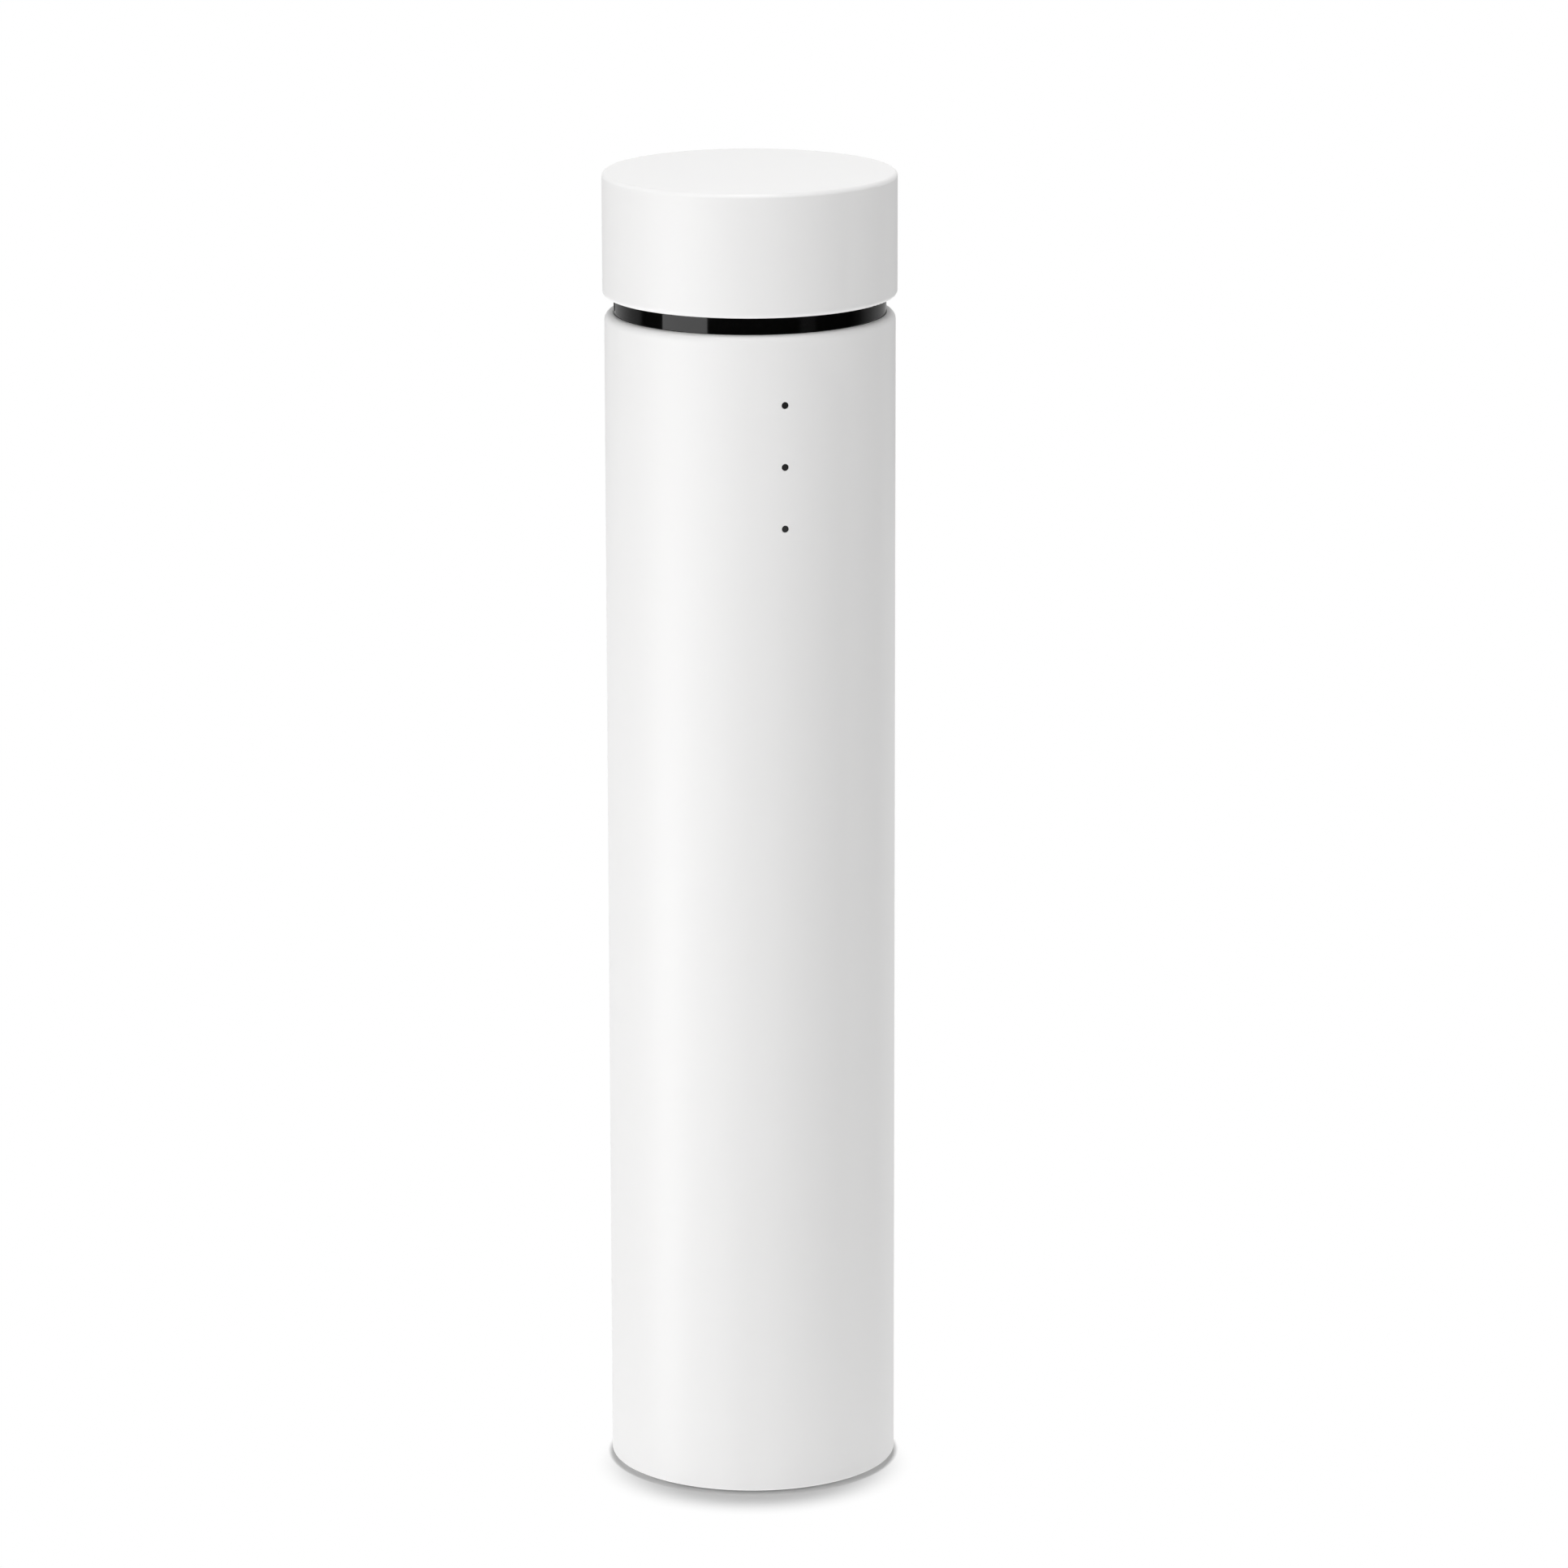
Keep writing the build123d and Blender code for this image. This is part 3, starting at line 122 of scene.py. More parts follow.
def soft_box(name, bearing, elevation, distance, width, height, radiance):
    """A rectangular lamp of even brightness."""
    lamp = bpy.data.lights.new(name, "AREA")
    lamp.shape = "RECTANGLE"
    lamp.size = width
    lamp.size_y = height
    lamp.energy = radiance * np.pi * width * height
    print(name, "energy", round(lamp.energy, 3), "W")
    return hang(name, lamp, bearing, elevation, distance)


boxes = {row[0]: soft_box(*row) for row in soft_boxes}
boxes["strip_box"].visible_diffuse = False
boxes["rear_box"].visible_glossy = False
sky = bpy.data.lights.new("sky_lamp", "SUN")
sky.energy = sky_level * np.pi
sky.angle = radians(2.5)
hang("sky_lamp", sky, bearing=172, elevation=88.1, distance=2.0)

# %% [markdown]
# ## Wiring nodes
# A material is a tree of nodes whose sockets are linked. In a script each node, link and number
# takes a line, so these few calls add a node, fill its sockets and link it in one go.

# %% A helper that wires nodes


class Wiring:
    """A node tree, with short calls for its nodes, links and sums."""

    def __init__(self, tree):
        self.tree = tree

    def join(self, value, socket):
        """Feed a socket with another socket's output, or set it to a value."""
        if isinstance(value, bpy.types.NodeSocket):
            self.tree.links.new(value, socket)
        else:
            socket.default_value = value

    def fill(self, node, **values):
        """Give a node named values. A name, with _ for a space, is an input's or a setting's."""
        for name, value in values.items():
            title = name.replace("_", " ")
            if title in node.inputs:
                self.join(value, node.inputs[title])
            else:
                setattr(node, name, value)
        return node

    def node(self, kind, *values, **named_values):
        """Add a node and fill it. Values without a name go to its inputs in their order."""
        made = self.fill(self.tree.nodes.new(kind), **named_values)
        for value, socket in zip(values, made.inputs):
            self.join(value, socket)
        return made

    def sum(self, operation, *values):
        """The result of a Math node."""
        return self.node("ShaderNodeMath", *values, operation=operation).outputs[0]

    def seen(self):
        """A factor that is 1 for what the camera, a mirror or glass sees, and 0 for lighting."""
        path = self.node("ShaderNodeLightPath").outputs
        direct = self.sum("MAXIMUM", path["Is Camera Ray"], path["Is Glossy Ray"])
        return self.sum("MAXIMUM", direct, path["Is Transmission Ray"])


def new_material(name):
    """A material, the wiring of its nodes and its Principled shader."""
    material = bpy.data.materials.new(name)
    material.use_nodes = True
    return material, Wiring(material.node_tree), material.node_tree.nodes["Principled BSDF"]


# %% [markdown]
# ## The surround
# The world gives the even fill. To the camera, and in mirrors and glass, it is plain white.

# %% Fill the world
fill_level = 0.10
world = bpy.data.worlds.new("white_surround")
world.use_nodes = True
scene.world = world
wires = Wiring(world.node_tree)
strength = wires.node("ShaderNodeMapRange", Value=wires.seen(), To_Min=fill_level)
wires.fill(world.node_tree.nodes["Background"], Color=(1, 1, 1, 1),
           Strength=strength.outputs["Result"])
print("fill level", fill_level)

# %% [markdown]
# ## The floor
# The floor is a matt sheet lit from below, as a light table is. Near the foot the camera sees the
# sheet's darker lit tone with the lamps' real shadow on it, inside a painted shade pool centred a
# little in front of the foot and a thin ring at the foot; a few centimetres out it fades into plain
# white. It is clear when seen from below, and lets the lamps that reach below it shine through.

# %% Lay the floor
floor_half = 6.0
floor_gap = 0.00005
floor_tone = 0.60
floor_glow = 0.80
# painted shade: the pool in front of the foot and the ring at the foot, where the darker sheet
# shows
painted_shade_middle = (-0.0024, -0.0095, 0.0)
painted_shade_start, painted_shade_end = 0.0222, 0.0377
contact_start, contact_end = 0.0330, 0.0343


def new_object(name, points, faces, material):
    """A mesh of these points and faces, in one material, put into the scene."""
    mesh = bpy.data.meshes.new(name)
    mesh.from_pydata(points.tolist(), [], faces.tolist())
    mesh.materials.append(material)
    piece = bpy.data.objects.new(name, mesh)
    scene.collection.objects.link(piece)
    return piece


paper, wires, sheet = new_material("floor_paper")
path = wires.node("ShaderNodeLightPath").outputs
wires.fill(sheet, Base_Color=(floor_tone, floor_tone, floor_tone, 1), Roughness=0.9,
           Specular_IOR_Level=0.0,
           Emission_Strength=wires.sum("MULTIPLY", path["Is Diffuse Ray"], floor_glow))
place = wires.node("ShaderNodeTexCoord").outputs["Object"]


def fade(middle, start, end):
    """A factor that rises smoothly from 0 at one distance from a point to 1 at another."""
    distance = wires.node("ShaderNodeVectorMath", place, middle, operation="DISTANCE")
    return wires.node("ShaderNodeMapRange", Value=distance.outputs["Value"], From_Min=start,
                      From_Max=end, interpolation_type="SMOOTHSTEP").outputs["Result"]


# the painted shade mask: 0 where the darker lit sheet shows, rising to 1 where the floor is plain
# white
whiteness = wires.sum("MINIMUM", fade(painted_shade_middle, painted_shade_start, painted_shade_end),
                      fade((0, 0, 0), contact_start, contact_end))
white = wires.node("ShaderNodeEmission").outputs["Emission"]
shown = wires.node("ShaderNodeMixShader", wires.sum("MULTIPLY", wires.seen(), whiteness),
                   sheet.outputs["BSDF"], white).outputs["Shader"]
backfacing = wires.node("ShaderNodeNewGeometry").outputs["Backfacing"]
let_through = wires.sum("MAXIMUM", backfacing, path["Is Shadow Ray"])
clear = wires.node("ShaderNodeBsdfTransparent").outputs["BSDF"]
one_sided = wires.node("ShaderNodeMixShader", let_through, shown, clear)
wires.join(one_sided.outputs["Shader"], wires.tree.nodes["Material Output"].inputs["Surface"])
corners = floor_half * np.array([(-1, -1, 0), (1, -1, 0), (1, 1, 0), (-1, 1, 0)], float)
floor = new_object("floor", corners - (0, 0, floor_gap), np.array([(0, 1, 2, 3)]), paper)
print("floor", 2 * floor_half, "m wide")

# %% [markdown]
# ## The cloth ring
# The dark neck is a mirror, so it shows what stands around it. A ring of cloth that only glossy
# surfaces see is black in front and grey behind, and draws the bands in the neck. Its tone is
# an attribute of its points, blended between a few bearings.

# %% Hang the cloth ring
ring_distance = 0.75
ring_bottom, ring_top = 0.083, 0.24
ring_glow = {-180: 0.50, -150: 0.45, -136: 0.44, -126: 0.37, -118: 0.30, -106: 0.24, -101: 0,
             40: 0, 44: 0.09, 54: 0.09, 58: 0, 93: 0, 104: 0.06, 113: 0.20, 129: 0.37,
             155: 0.42, 180: 0.50}

cloth, wires, weave = new_material("graded_cloth")
glow = wires.node("ShaderNodeAttribute", attribute_name="glow")
wires.fill(weave, Base_Color=(0, 0, 0, 1), Specular_IOR_Level=0.0,
           Emission_Strength=glow.outputs["Fac"])
bearings = np.arange(-180, 180, 2.0)
turns = towards_camera + np.radians(bearings)
lower = np.stack([ring_distance * np.cos(turns), ring_distance * np.sin(turns),
                  0 * turns + ring_bottom], 1)
upper = lower + (0, 0, ring_top - ring_bottom)
first = np.arange(len(turns))
after = np.roll(first, -1)
quads = np.stack([first, after, after + len(turns), first + len(turns)], 1)
ring = new_object("graded_ring", np.concatenate([lower, upper]), quads, cloth)
tones = np.tile(np.interp(bearings, list(ring_glow), list(ring_glow.values())), 2)
ring.data.attributes.new("glow", "FLOAT", "POINT").data.foreach_set("value", tones)
ring.visible_camera = ring.visible_diffuse = False
ring.visible_shadow = ring.visible_transmission = False
print("cloth ring at", ring_distance, "m")

# %% [markdown]
# ## Effects that materials share
# Real surfaces repeat a few effects at different sizes: the grain of a moulding, the rings that
# a lathe leaves, fibres, loose granules, wires side by side. Each is a node group, built once
# and placed in a material with its own numbers. It puts out only colour, roughness and height;
# the shader stays in the material, so that it can be baked.

# %% A helper that builds node groups


class Effect(Wiring):
    """A node group that takes a colour and the titled numbers, and gives colour, roughness and
    height. A text as a value means the group's input of that title."""

    def __init__(self, name, *titles):
        super().__init__(bpy.data.node_groups.new(name, "ShaderNodeTree"))
        for way, row in (("INPUT", titles), ("OUTPUT", ("Roughness", "Height"))):
            for title in ("Colour", *row):
                kind = "NodeSocketColor" if title == "Colour" else "NodeSocketFloat"
                self.tree.interface.new_socket(title, in_out=way, socket_type=kind)
        self.given = self.tree.nodes.new("NodeGroupInput").outputs
        self.place = self.node("ShaderNodeTexCoord").outputs["Object"]

    def join(self, value, socket):
        """Feed a socket, also with one of the group's own inputs."""
        super().join(self.given[value] if isinstance(value, str) else value, socket)

    def noise(self, size, detail=2.0, place=None):
        """Fractal noise with features of about this size in metres, from 0 to 1."""
        return self.node("ShaderNodeTexNoise", place or self.place, Detail=detail,
                         Scale=self.sum("DIVIDE", 1.0, size)).outputs["Fac"]

    def deliver(self, tone, roughness, height):
        """Put out the given colour times a tone, with a roughness and a height."""
        colour = self.node("ShaderNodeVectorMath", "Colour", operation="SCALE", Scale=tone)
        self.node("NodeGroupOutput", colour.outputs[0], roughness, height)
        print("group:", self.tree.name)
        return self.tree


# %% [markdown]
# ### Moulded plastic and rubber
# A steel mould is blasted before use, and the plastic copies it as a grain of about a tenth of a
# millimetre. Slow cooling adds faint clouds of gloss and tone. Two noises do it: a fine one for
# height, and a broad one that tilts colour and roughness by a few percent.

# %% Group: moulded grain
effect = Effect("moulded_grain", "Roughness", "Grain Size", "Grain Depth", "Cloud Size",
                "Cloud Strength")
grain = effect.noise("Grain Size")
cloud = effect.sum("SUBTRACT", effect.noise("Cloud Size"), 0.5)
gloss = effect.sum("MULTIPLY_ADD", cloud, 0.12, "Roughness")
moulded_grain = effect.deliver(
    tone=effect.sum("MULTIPLY_ADD", cloud, "Cloud Strength", 1.0),
    roughness=effect.sum("MULTIPLY_ADD", effect.sum("SUBTRACT", grain, 0.5), 0.08, gloss),
    height=effect.sum("MULTIPLY", grain, "Grain Depth"))

# %% [markdown]
# ### Turned and ground metal
# A lathe tool leaves a fine spiral, so bearings, shafts and stamped plates catch light in rings.
# The distance from the object's axis plus the height, divided by the pitch, goes through a sine:
# that is the groove. Broad noise makes some rings duller than others, as handling does.

# %% Group: turning marks
effect = Effect("turning_marks", "Roughness", "Pitch", "Depth", "Stain")
parts = effect.node("ShaderNodeSeparateXYZ", effect.place).outputs
radius = effect.sum("SQRT", effect.sum("ADD", effect.sum("MULTIPLY", parts["X"], parts["X"]),
                                       effect.sum("MULTIPLY", parts["Y"], parts["Y"])))
along = effect.sum("ADD", radius, parts["Z"])
angle = effect.sum("MULTIPLY", effect.sum("DIVIDE", along, "Pitch"), 2 * np.pi)
dull = effect.sum("SUBTRACT", effect.noise(0.003, 3.0), 0.5)
turning_marks = effect.deliver(
    tone=effect.sum("MULTIPLY_ADD", dull, "Stain", 1.0),
    roughness=effect.sum("MULTIPLY_ADD", dull, 0.25, "Roughness"),
    height=effect.sum("MULTIPLY", effect.sum("SINE", angle), "Depth"))

# %% [markdown]
# ### Paper and foam
# Filter paper is a felt of fibres, and foam a froth of open cells. Both look soft because light
# sinks between the strands. A stretched noise makes strands, and its dark half darkens the colour
# as painted shade, so the groove and its painted shadow fall in the same place.

# %% Group: felt
effect = Effect("felt", "Strand Size", "Strand Depth", "Shadow")
stretched = effect.node("ShaderNodeMapping", Vector=effect.place, Scale=(1.0, 1.0, 0.35))
strand = effect.noise("Strand Size", 4.0, stretched.outputs[0])
# painted shade: the colour darkens where the strand noise is low
hollow_shade = effect.sum("MULTIPLY", effect.sum("SUBTRACT", 0.62, strand), "Shadow")
felt = effect.deliver(tone=effect.sum("SUBTRACT", 1.0, hollow_shade),
                      roughness=effect.sum("MULTIPLY_ADD", strand, -0.15, 1.0),
                      height=effect.sum("MULTIPLY", strand, "Strand Depth"))

# %% [markdown]
# ### Granules
# Activated carbon is crushed shell: sharp dull grains with a glint here and there. A Voronoi
# pattern gives cells, each with its own random tone, and the distance to the cell's middle
# is turned upside down for the height.

# %% Group: granules
effect = Effect("granules", "Grain Size", "Grain Depth", "Contrast")
cells = effect.node("ShaderNodeTexVoronoi", effect.place,
                    Scale=effect.sum("DIVIDE", 1.0, "Grain Size")).outputs
shade = effect.node("ShaderNodeSeparateColor", cells["Color"]).outputs["Red"]
rise = effect.sum("SUBTRACT", 1.0, cells["Distance"])
granules = effect.deliver(
    tone=effect.sum("MULTIPLY_ADD", effect.sum("SUBTRACT", shade, 0.5), "Contrast", 1.0),
    roughness=effect.sum("MULTIPLY_ADD", shade, -0.45, 0.9),
    height=effect.sum("MULTIPLY", rise, "Grain Depth"))

# %% [markdown]
# ### Wires side by side
# Windings and flat cables are round wires laid next to each other. Across them, the position
# divided by the pitch gives each wire its own 0 to 1, and a half circle over that is its back.
# The groove between two wires is darkened as painted shade. Stacked laminations are made with it
# too.

# %% Group: wire rows
effect = Effect("wire_rows", "Across", "Pitch", "Depth", "Groove", "Roughness")
share = effect.sum("FRACT", effect.sum("DIVIDE", "Across", "Pitch"))
offset = effect.sum("MULTIPLY_ADD", share, 2.0, -1.0)
room = effect.sum("SUBTRACT", 1.0, effect.sum("MULTIPLY", offset, offset))
back = effect.sum("SQRT", effect.sum("MAXIMUM", 0.0, room))
# painted shade: the colour darkens in the groove between neighbouring wires
dark = effect.sum("MULTIPLY", "Groove", effect.sum("SUBTRACT", 1.0, back))
wire_rows = effect.deliver(tone=effect.sum("SUBTRACT", 1.0, dark), roughness="Roughness",
                           height=effect.sum("MULTIPLY", back, "Depth"))

# %% [markdown]
# ### Copper tracks under solder mask
# A circuit board shows its tracks as slightly lighter, slightly raised shapes under a coloured
# varnish. A Voronoi pattern measured along the axes has straight cell borders, and everything
# past a distance from a cell's middle is track.

# %% Group: board tracks
effect = Effect("board_tracks", "Track Size", "Track Depth", "Roughness")
blocks = effect.node("ShaderNodeTexVoronoi", effect.place, distance="CHEBYCHEV",
                     Scale=effect.sum("DIVIDE", 1.0, "Track Size"))
track = effect.node("ShaderNodeMapRange", Value=blocks.outputs["Distance"], From_Min=0.30,
                    From_Max=0.36).outputs["Result"]
board_tracks = effect.deliver(tone=effect.sum("MULTIPLY_ADD", track, 0.7, 0.8),
                              roughness=effect.sum("MULTIPLY_ADD", track, -0.08, "Roughness"),
                              height=effect.sum("MULTIPLY", track, "Track Depth"))

# %% [markdown]
# ## The finishes
# Each material is one Principled shader fed by one group. Numbers that are the same all over,
# such as metal, coat and specular level, are set on the shader itself. Colours are linear.

# %% A helper that builds a finish
finishes = {}


def finish(slot, name, group, across=None, **values):
    """The material of a slot: one effect group feeds its colour, roughness and bump. A named
    value goes to the group if it has that input, and else to the Principled shader. across is
    X, Y or Z: the coordinate that counts the rows of wires."""
    material, wires, shader = new_material(name)
    effect = wires.node("ShaderNodeGroup", node_tree=group)
    for title, value in values.items():
        owner = effect if title.replace("_", " ") in effect.inputs else shader
        wires.fill(owner, **{title: value})
    if across:
        place = wires.node("ShaderNodeTexCoord").outputs["Object"]
        wires.fill(effect, Across=wires.node("ShaderNodeSeparateXYZ", place).outputs[across])
    bump = wires.node("ShaderNodeBump", Distance=1.0, Height=effect.outputs["Height"])
    wires.fill(shader, Base_Color=effect.outputs["Colour"], Roughness=effect.outputs["Roughness"],
               Normal=bump.outputs["Normal"])
    finishes[slot] = material
    print("finish:", name, "for", slot)


def grey(level, warmth=0.0):
    """A neutral linear colour, a little warmer with positive warmth."""
    return (level * (1 + warmth), level, level * (1 - warmth), 1)


# %% [markdown]
# ### Casing plastics
# The tube and the cap are one white plastic with a satin, faintly warm surface. The neck is the
# same plastic in black, polished like a mirror. The button is a shade greyer, because small
# parts come from another mould.

# %% Casing plastics
finish("white_casing", "satin_white", moulded_grain, Colour=grey(0.86, 0.004), Roughness=0.42,
       Grain_Size=0.00016, Grain_Depth=0.0000012, Cloud_Size=0.05, Cloud_Strength=0.012,
       Specular_IOR_Level=0.45)
finish("white_button", "button_white", moulded_grain, Colour=grey(0.80, 0.002), Roughness=0.36,
       Grain_Size=0.00014, Grain_Depth=0.000001, Cloud_Size=0.006, Cloud_Strength=0.02)
finish("black_gloss", "polished_black", moulded_grain, Colour=grey(0.0035), Roughness=0.07,
       Grain_Size=0.002, Grain_Depth=0.0000006, Cloud_Size=0.03, Cloud_Strength=0.05)

# %% [markdown]
# ### Inner plastics and rubbers
# Hidden mouldings are plain: grey for the base, off-white for the frame, black for the fan. The
# coarser the mould, the larger the grain. Rubber is the dullest of them.

# %% Inner plastics and rubbers
micron = 0.000001
inner_plastics = [
    # slot, name, level, warmth, roughness, microns of grain size and depth, cloud strength
    ("grey_plastic", "base_grey", 0.42, -0.01, 0.55, 350, 12, 0.06),
    ("frame_plastic", "frame_ivory", 0.62, 0.03, 0.50, 300, 6, 0.04),
    ("fan_black", "fan_black_plastic", 0.018, 0.0, 0.38, 250, 4, 0.20),
    ("cartridge_plastic", "cartridge_white", 0.72, 0.01, 0.48, 250, 4, 0.03),
    ("connector_nylon", "connector_cream", 0.66, 0.05, 0.40, 200, 3, 0.05),
    ("chip_black", "chip_epoxy", 0.02, 0.0, 0.55, 120, 6, 0.15),
    ("black_rubber", "seal_rubber", 0.022, 0.0, 0.62, 200, 8, 0.25),
    ("grey_rubber", "foot_rubber", 0.12, 0.0, 0.80, 300, 20, 0.15),
    ("smoked_lens", "smoked_resin", 0.012, 0.0, 0.18, 400, 1, 0.10),
    ("led_resin", "led_yellow_resin", 0.70, 0.12, 0.25, 300, 2, 0.05),
    ("ferrite", "ferrite_grey", 0.06, 0.0, 0.60, 200, 10, 0.30),
    ("lead_jacket", "lead_sleeve", 0.03, 0.0, 0.45, 300, 3, 0.12),
    ("capacitor_sleeve", "capacitor_blue_black", 0.03, -0.25, 0.30, 400, 2, 0.10),
]
for slot, name, level, warmth, rough, size, depth, cloud in inner_plastics:
    finish(slot, name, moulded_grain, Colour=grey(level, warmth), Roughness=rough,
           Grain_Size=size * micron, Grain_Depth=depth * micron, Cloud_Size=0.008,
           Cloud_Strength=cloud)

# %% [markdown]
# ### Metals
# Zinc-plated plate, screws, ground bearings and stamped laminations are all metal with a
# different colour, pitch of tool marks and dullness. Enamelled copper wire is metal too, under
# a clear coat.

# %% Metals
metals = [
    # slot, name, colour, roughness, microns of pitch and depth, stain
    ("plated_steel", "zinc_plate", (0.55, 0.56, 0.57, 1), 0.38, 900, 2, 0.25),
    ("screw_steel", "zinc_screw", (0.60, 0.60, 0.61, 1), 0.28, 350, 3, 0.20),
    ("bright_steel", "bright_steel", (0.66, 0.66, 0.67, 1), 0.20, 400, 1, 0.10),
    ("bearing_steel", "ground_steel", (0.58, 0.58, 0.59, 1), 0.16, 250, 1.5, 0.12),
]
for slot, name, colour, rough, pitch, depth, stain in metals:
    finish(slot, name, turning_marks, Colour=colour, Roughness=rough, Pitch=pitch * micron,
           Depth=depth * micron, Stain=stain, Metallic=1.0)
# Groove is the strength of the painted shade between neighbouring sheets or wires, here and below.
finish("lamination_steel", "stacked_laminations", wire_rows, across="Z",
       Colour=(0.30, 0.31, 0.33, 1), Pitch=0.0005, Depth=0.00004, Groove=0.7, Roughness=0.42,
       Metallic=0.9)
finish("enamelled_copper", "enamelled_copper", wire_rows, across="Z",
       Colour=(0.62, 0.20, 0.06, 1), Pitch=0.00035, Depth=0.0001, Groove=0.7, Roughness=0.24,
       Metallic=0.85, Coat_Weight=0.6)

# %% [markdown]
# ### Filter media, board and cable
# The cartridge holds white pleated paper over black carbon granules, between foam seals. The
# boards are dark green, and the ribbon cable is a row of flat conductors in white film.

# %% Filter media, board and cable
soft_media = [
    # slot, name, colour, microns of strand size and depth, painted shadow, sheen
    ("pleat_paper", "pleated_paper", (0.78, 0.78, 0.74, 1), 500, 30, 0.35, 0.15),
    ("foam_seal", "open_foam", (0.055, 0.055, 0.058, 1), 700, 120, 1.4, 0.1),
    ("prefilter_net", "net_thread", (0.035, 0.036, 0.038, 1), 400, 20, 0.6, 0.1),
]
for slot, name, colour, size, depth, shadow, sheen in soft_media:
    finish(slot, name, felt, Colour=colour, Strand_Size=size * micron,
           Strand_Depth=depth * micron, Shadow=shadow, Sheen_Weight=sheen)
finish("carbon_granules", "carbon_granules", granules, Colour=(0.02, 0.02, 0.021, 1),
       Grain_Size=0.0014, Grain_Depth=0.0006, Contrast=1.2)
finish("circuit_board", "green_solder_mask", board_tracks, Colour=(0.008, 0.075, 0.035, 1),
       Track_Size=0.0035, Track_Depth=0.00003, Roughness=0.28, Coat_Weight=0.3)
finish("ribbon_film", "ribbon_film", wire_rows, across="X", Colour=(0.70, 0.70, 0.68, 1),
       Pitch=0.0005, Depth=0.00006, Groove=0.35, Roughness=0.3)

# %% [markdown]
# ## Dressing the CAD nodes
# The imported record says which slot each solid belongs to. The mesh stays as it is: only the
# material in its slots changes.

# %% Dress every node
slot_of = {row["node"]: row["material_slot"] for row in frame["record"]["subparts"]}
for name, node in frame["nodes"].items():
    if not node.material_slots:
        node.data.materials.append(None)
    for place in node.material_slots:
        place.material = finishes[slot_of[name]]
print("dressed", len(slot_of), "nodes from", len(finishes), "finishes")

# %% [markdown]
# ## Surfaces from numbers
# A new piece is a grid of points worked out by numpy: an outline carried round the axis, or a
# thread along its path. The helpers below make the outline, the quads between grid points and
# the finished piece. Outlines are drawn in millimetres, and mm turns them into metres.

# %% Helpers for outlines and grids
mm = 0.001
weld_gap = 0.002


def measures(node, axis=0):
    """How far a CAD node reaches along +X, or +Y with axis 1, and its lowest and highest level,
    in millimetres."""
    low, high = np.array(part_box(node)) / mm
    return high[axis], low[2], high[2]


def unit(vectors):
    """The same directions with length 1."""
    return vectors / np.linalg.norm(vectors, axis=-1, keepdims=True)


def full_turn(count):
    """Evenly spaced turns, once round."""
    return np.linspace(0, 2 * np.pi, count, endpoint=False)


def in_a_row(count, pitch, middle=0.0):
    """Evenly spaced places about a middle."""
    return middle + pitch * (np.arange(count) - (count - 1) / 2)


def both_ways(*distances):
    """These distances to both sides of a middle, in order."""
    return np.unique(np.concatenate([-np.array(distances), distances]))


def rounded(corners, steps=5):
    """A closed outline through corners of (across, height, rounding). A rounded corner is an arc
    that touches both sides: its middle lies on the corner's bisector, at the rounding divided by
    the sine of half the corner, and its points are a blend of the two end radii by sines."""
    corners = np.array(corners, float)
    point, rounding = corners[:, :2], corners[:, 2:]
    back = unit(np.roll(point, 1, 0) - point)
    ahead = unit(np.roll(point, -1, 0) - point)
    half = np.arccos(np.clip((back * ahead).sum(1, keepdims=True), -1, 1)) / 2
    middle = point + unit(back + ahead) * rounding / np.sin(half)
    first = point + back * rounding / np.tan(half) - middle
    last = point + ahead * rounding / np.tan(half) - middle
    sweep = np.pi - 2 * half
    share = np.linspace(0, 1, steps + 1)
    arc = (np.sin((1 - share) * sweep)[..., None] * first[:, None]
           + np.sin(share * sweep)[..., None] * last[:, None]) / np.sin(sweep)[..., None]
    return (middle[:, None] + arc).reshape(-1, 2)


def grid_faces(rows, columns, wrap_rows=True, wrap_columns=True):
    """Quads between the points of a grid stored row by row. A wrapped direction is closed."""
    row = np.arange(rows if wrap_rows else rows - 1)[:, None]
    column = np.arange(columns if wrap_columns else columns - 1)[None, :]
    lower, upper, after = row * columns, (row + 1) % rows * columns, (column + 1) % columns
    quads = np.stack([lower + column, lower + after, upper + after, upper + column], -1)
    return quads.reshape(-1, 4)


def around(radius, turn, height):
    """Points at these distances from the axis, turned anticlockwise from +X, at these heights."""
    radius, turn, height = np.broadcast_arrays(radius, turn, height)
    return np.stack([radius * np.cos(turn), radius * np.sin(turn), height], -1)


def revolve(outline, turns):
    """Carry a closed outline round the axis, with a copy at each turn: grid points and quads."""
    points = around(outline[:, 0], turns[:, None], outline[:, 1])
    return points.reshape(-1, 3), grid_faces(len(turns), len(outline))


def joined(parts):
    """Several (points, quads) pairs as one."""
    counts = np.cumsum([0] + [len(points) for points, faces in parts])
    points = np.concatenate([points for points, faces in parts])
    faces = np.concatenate([faces + count for (points, faces), count in zip(parts, counts)])
    return points, faces


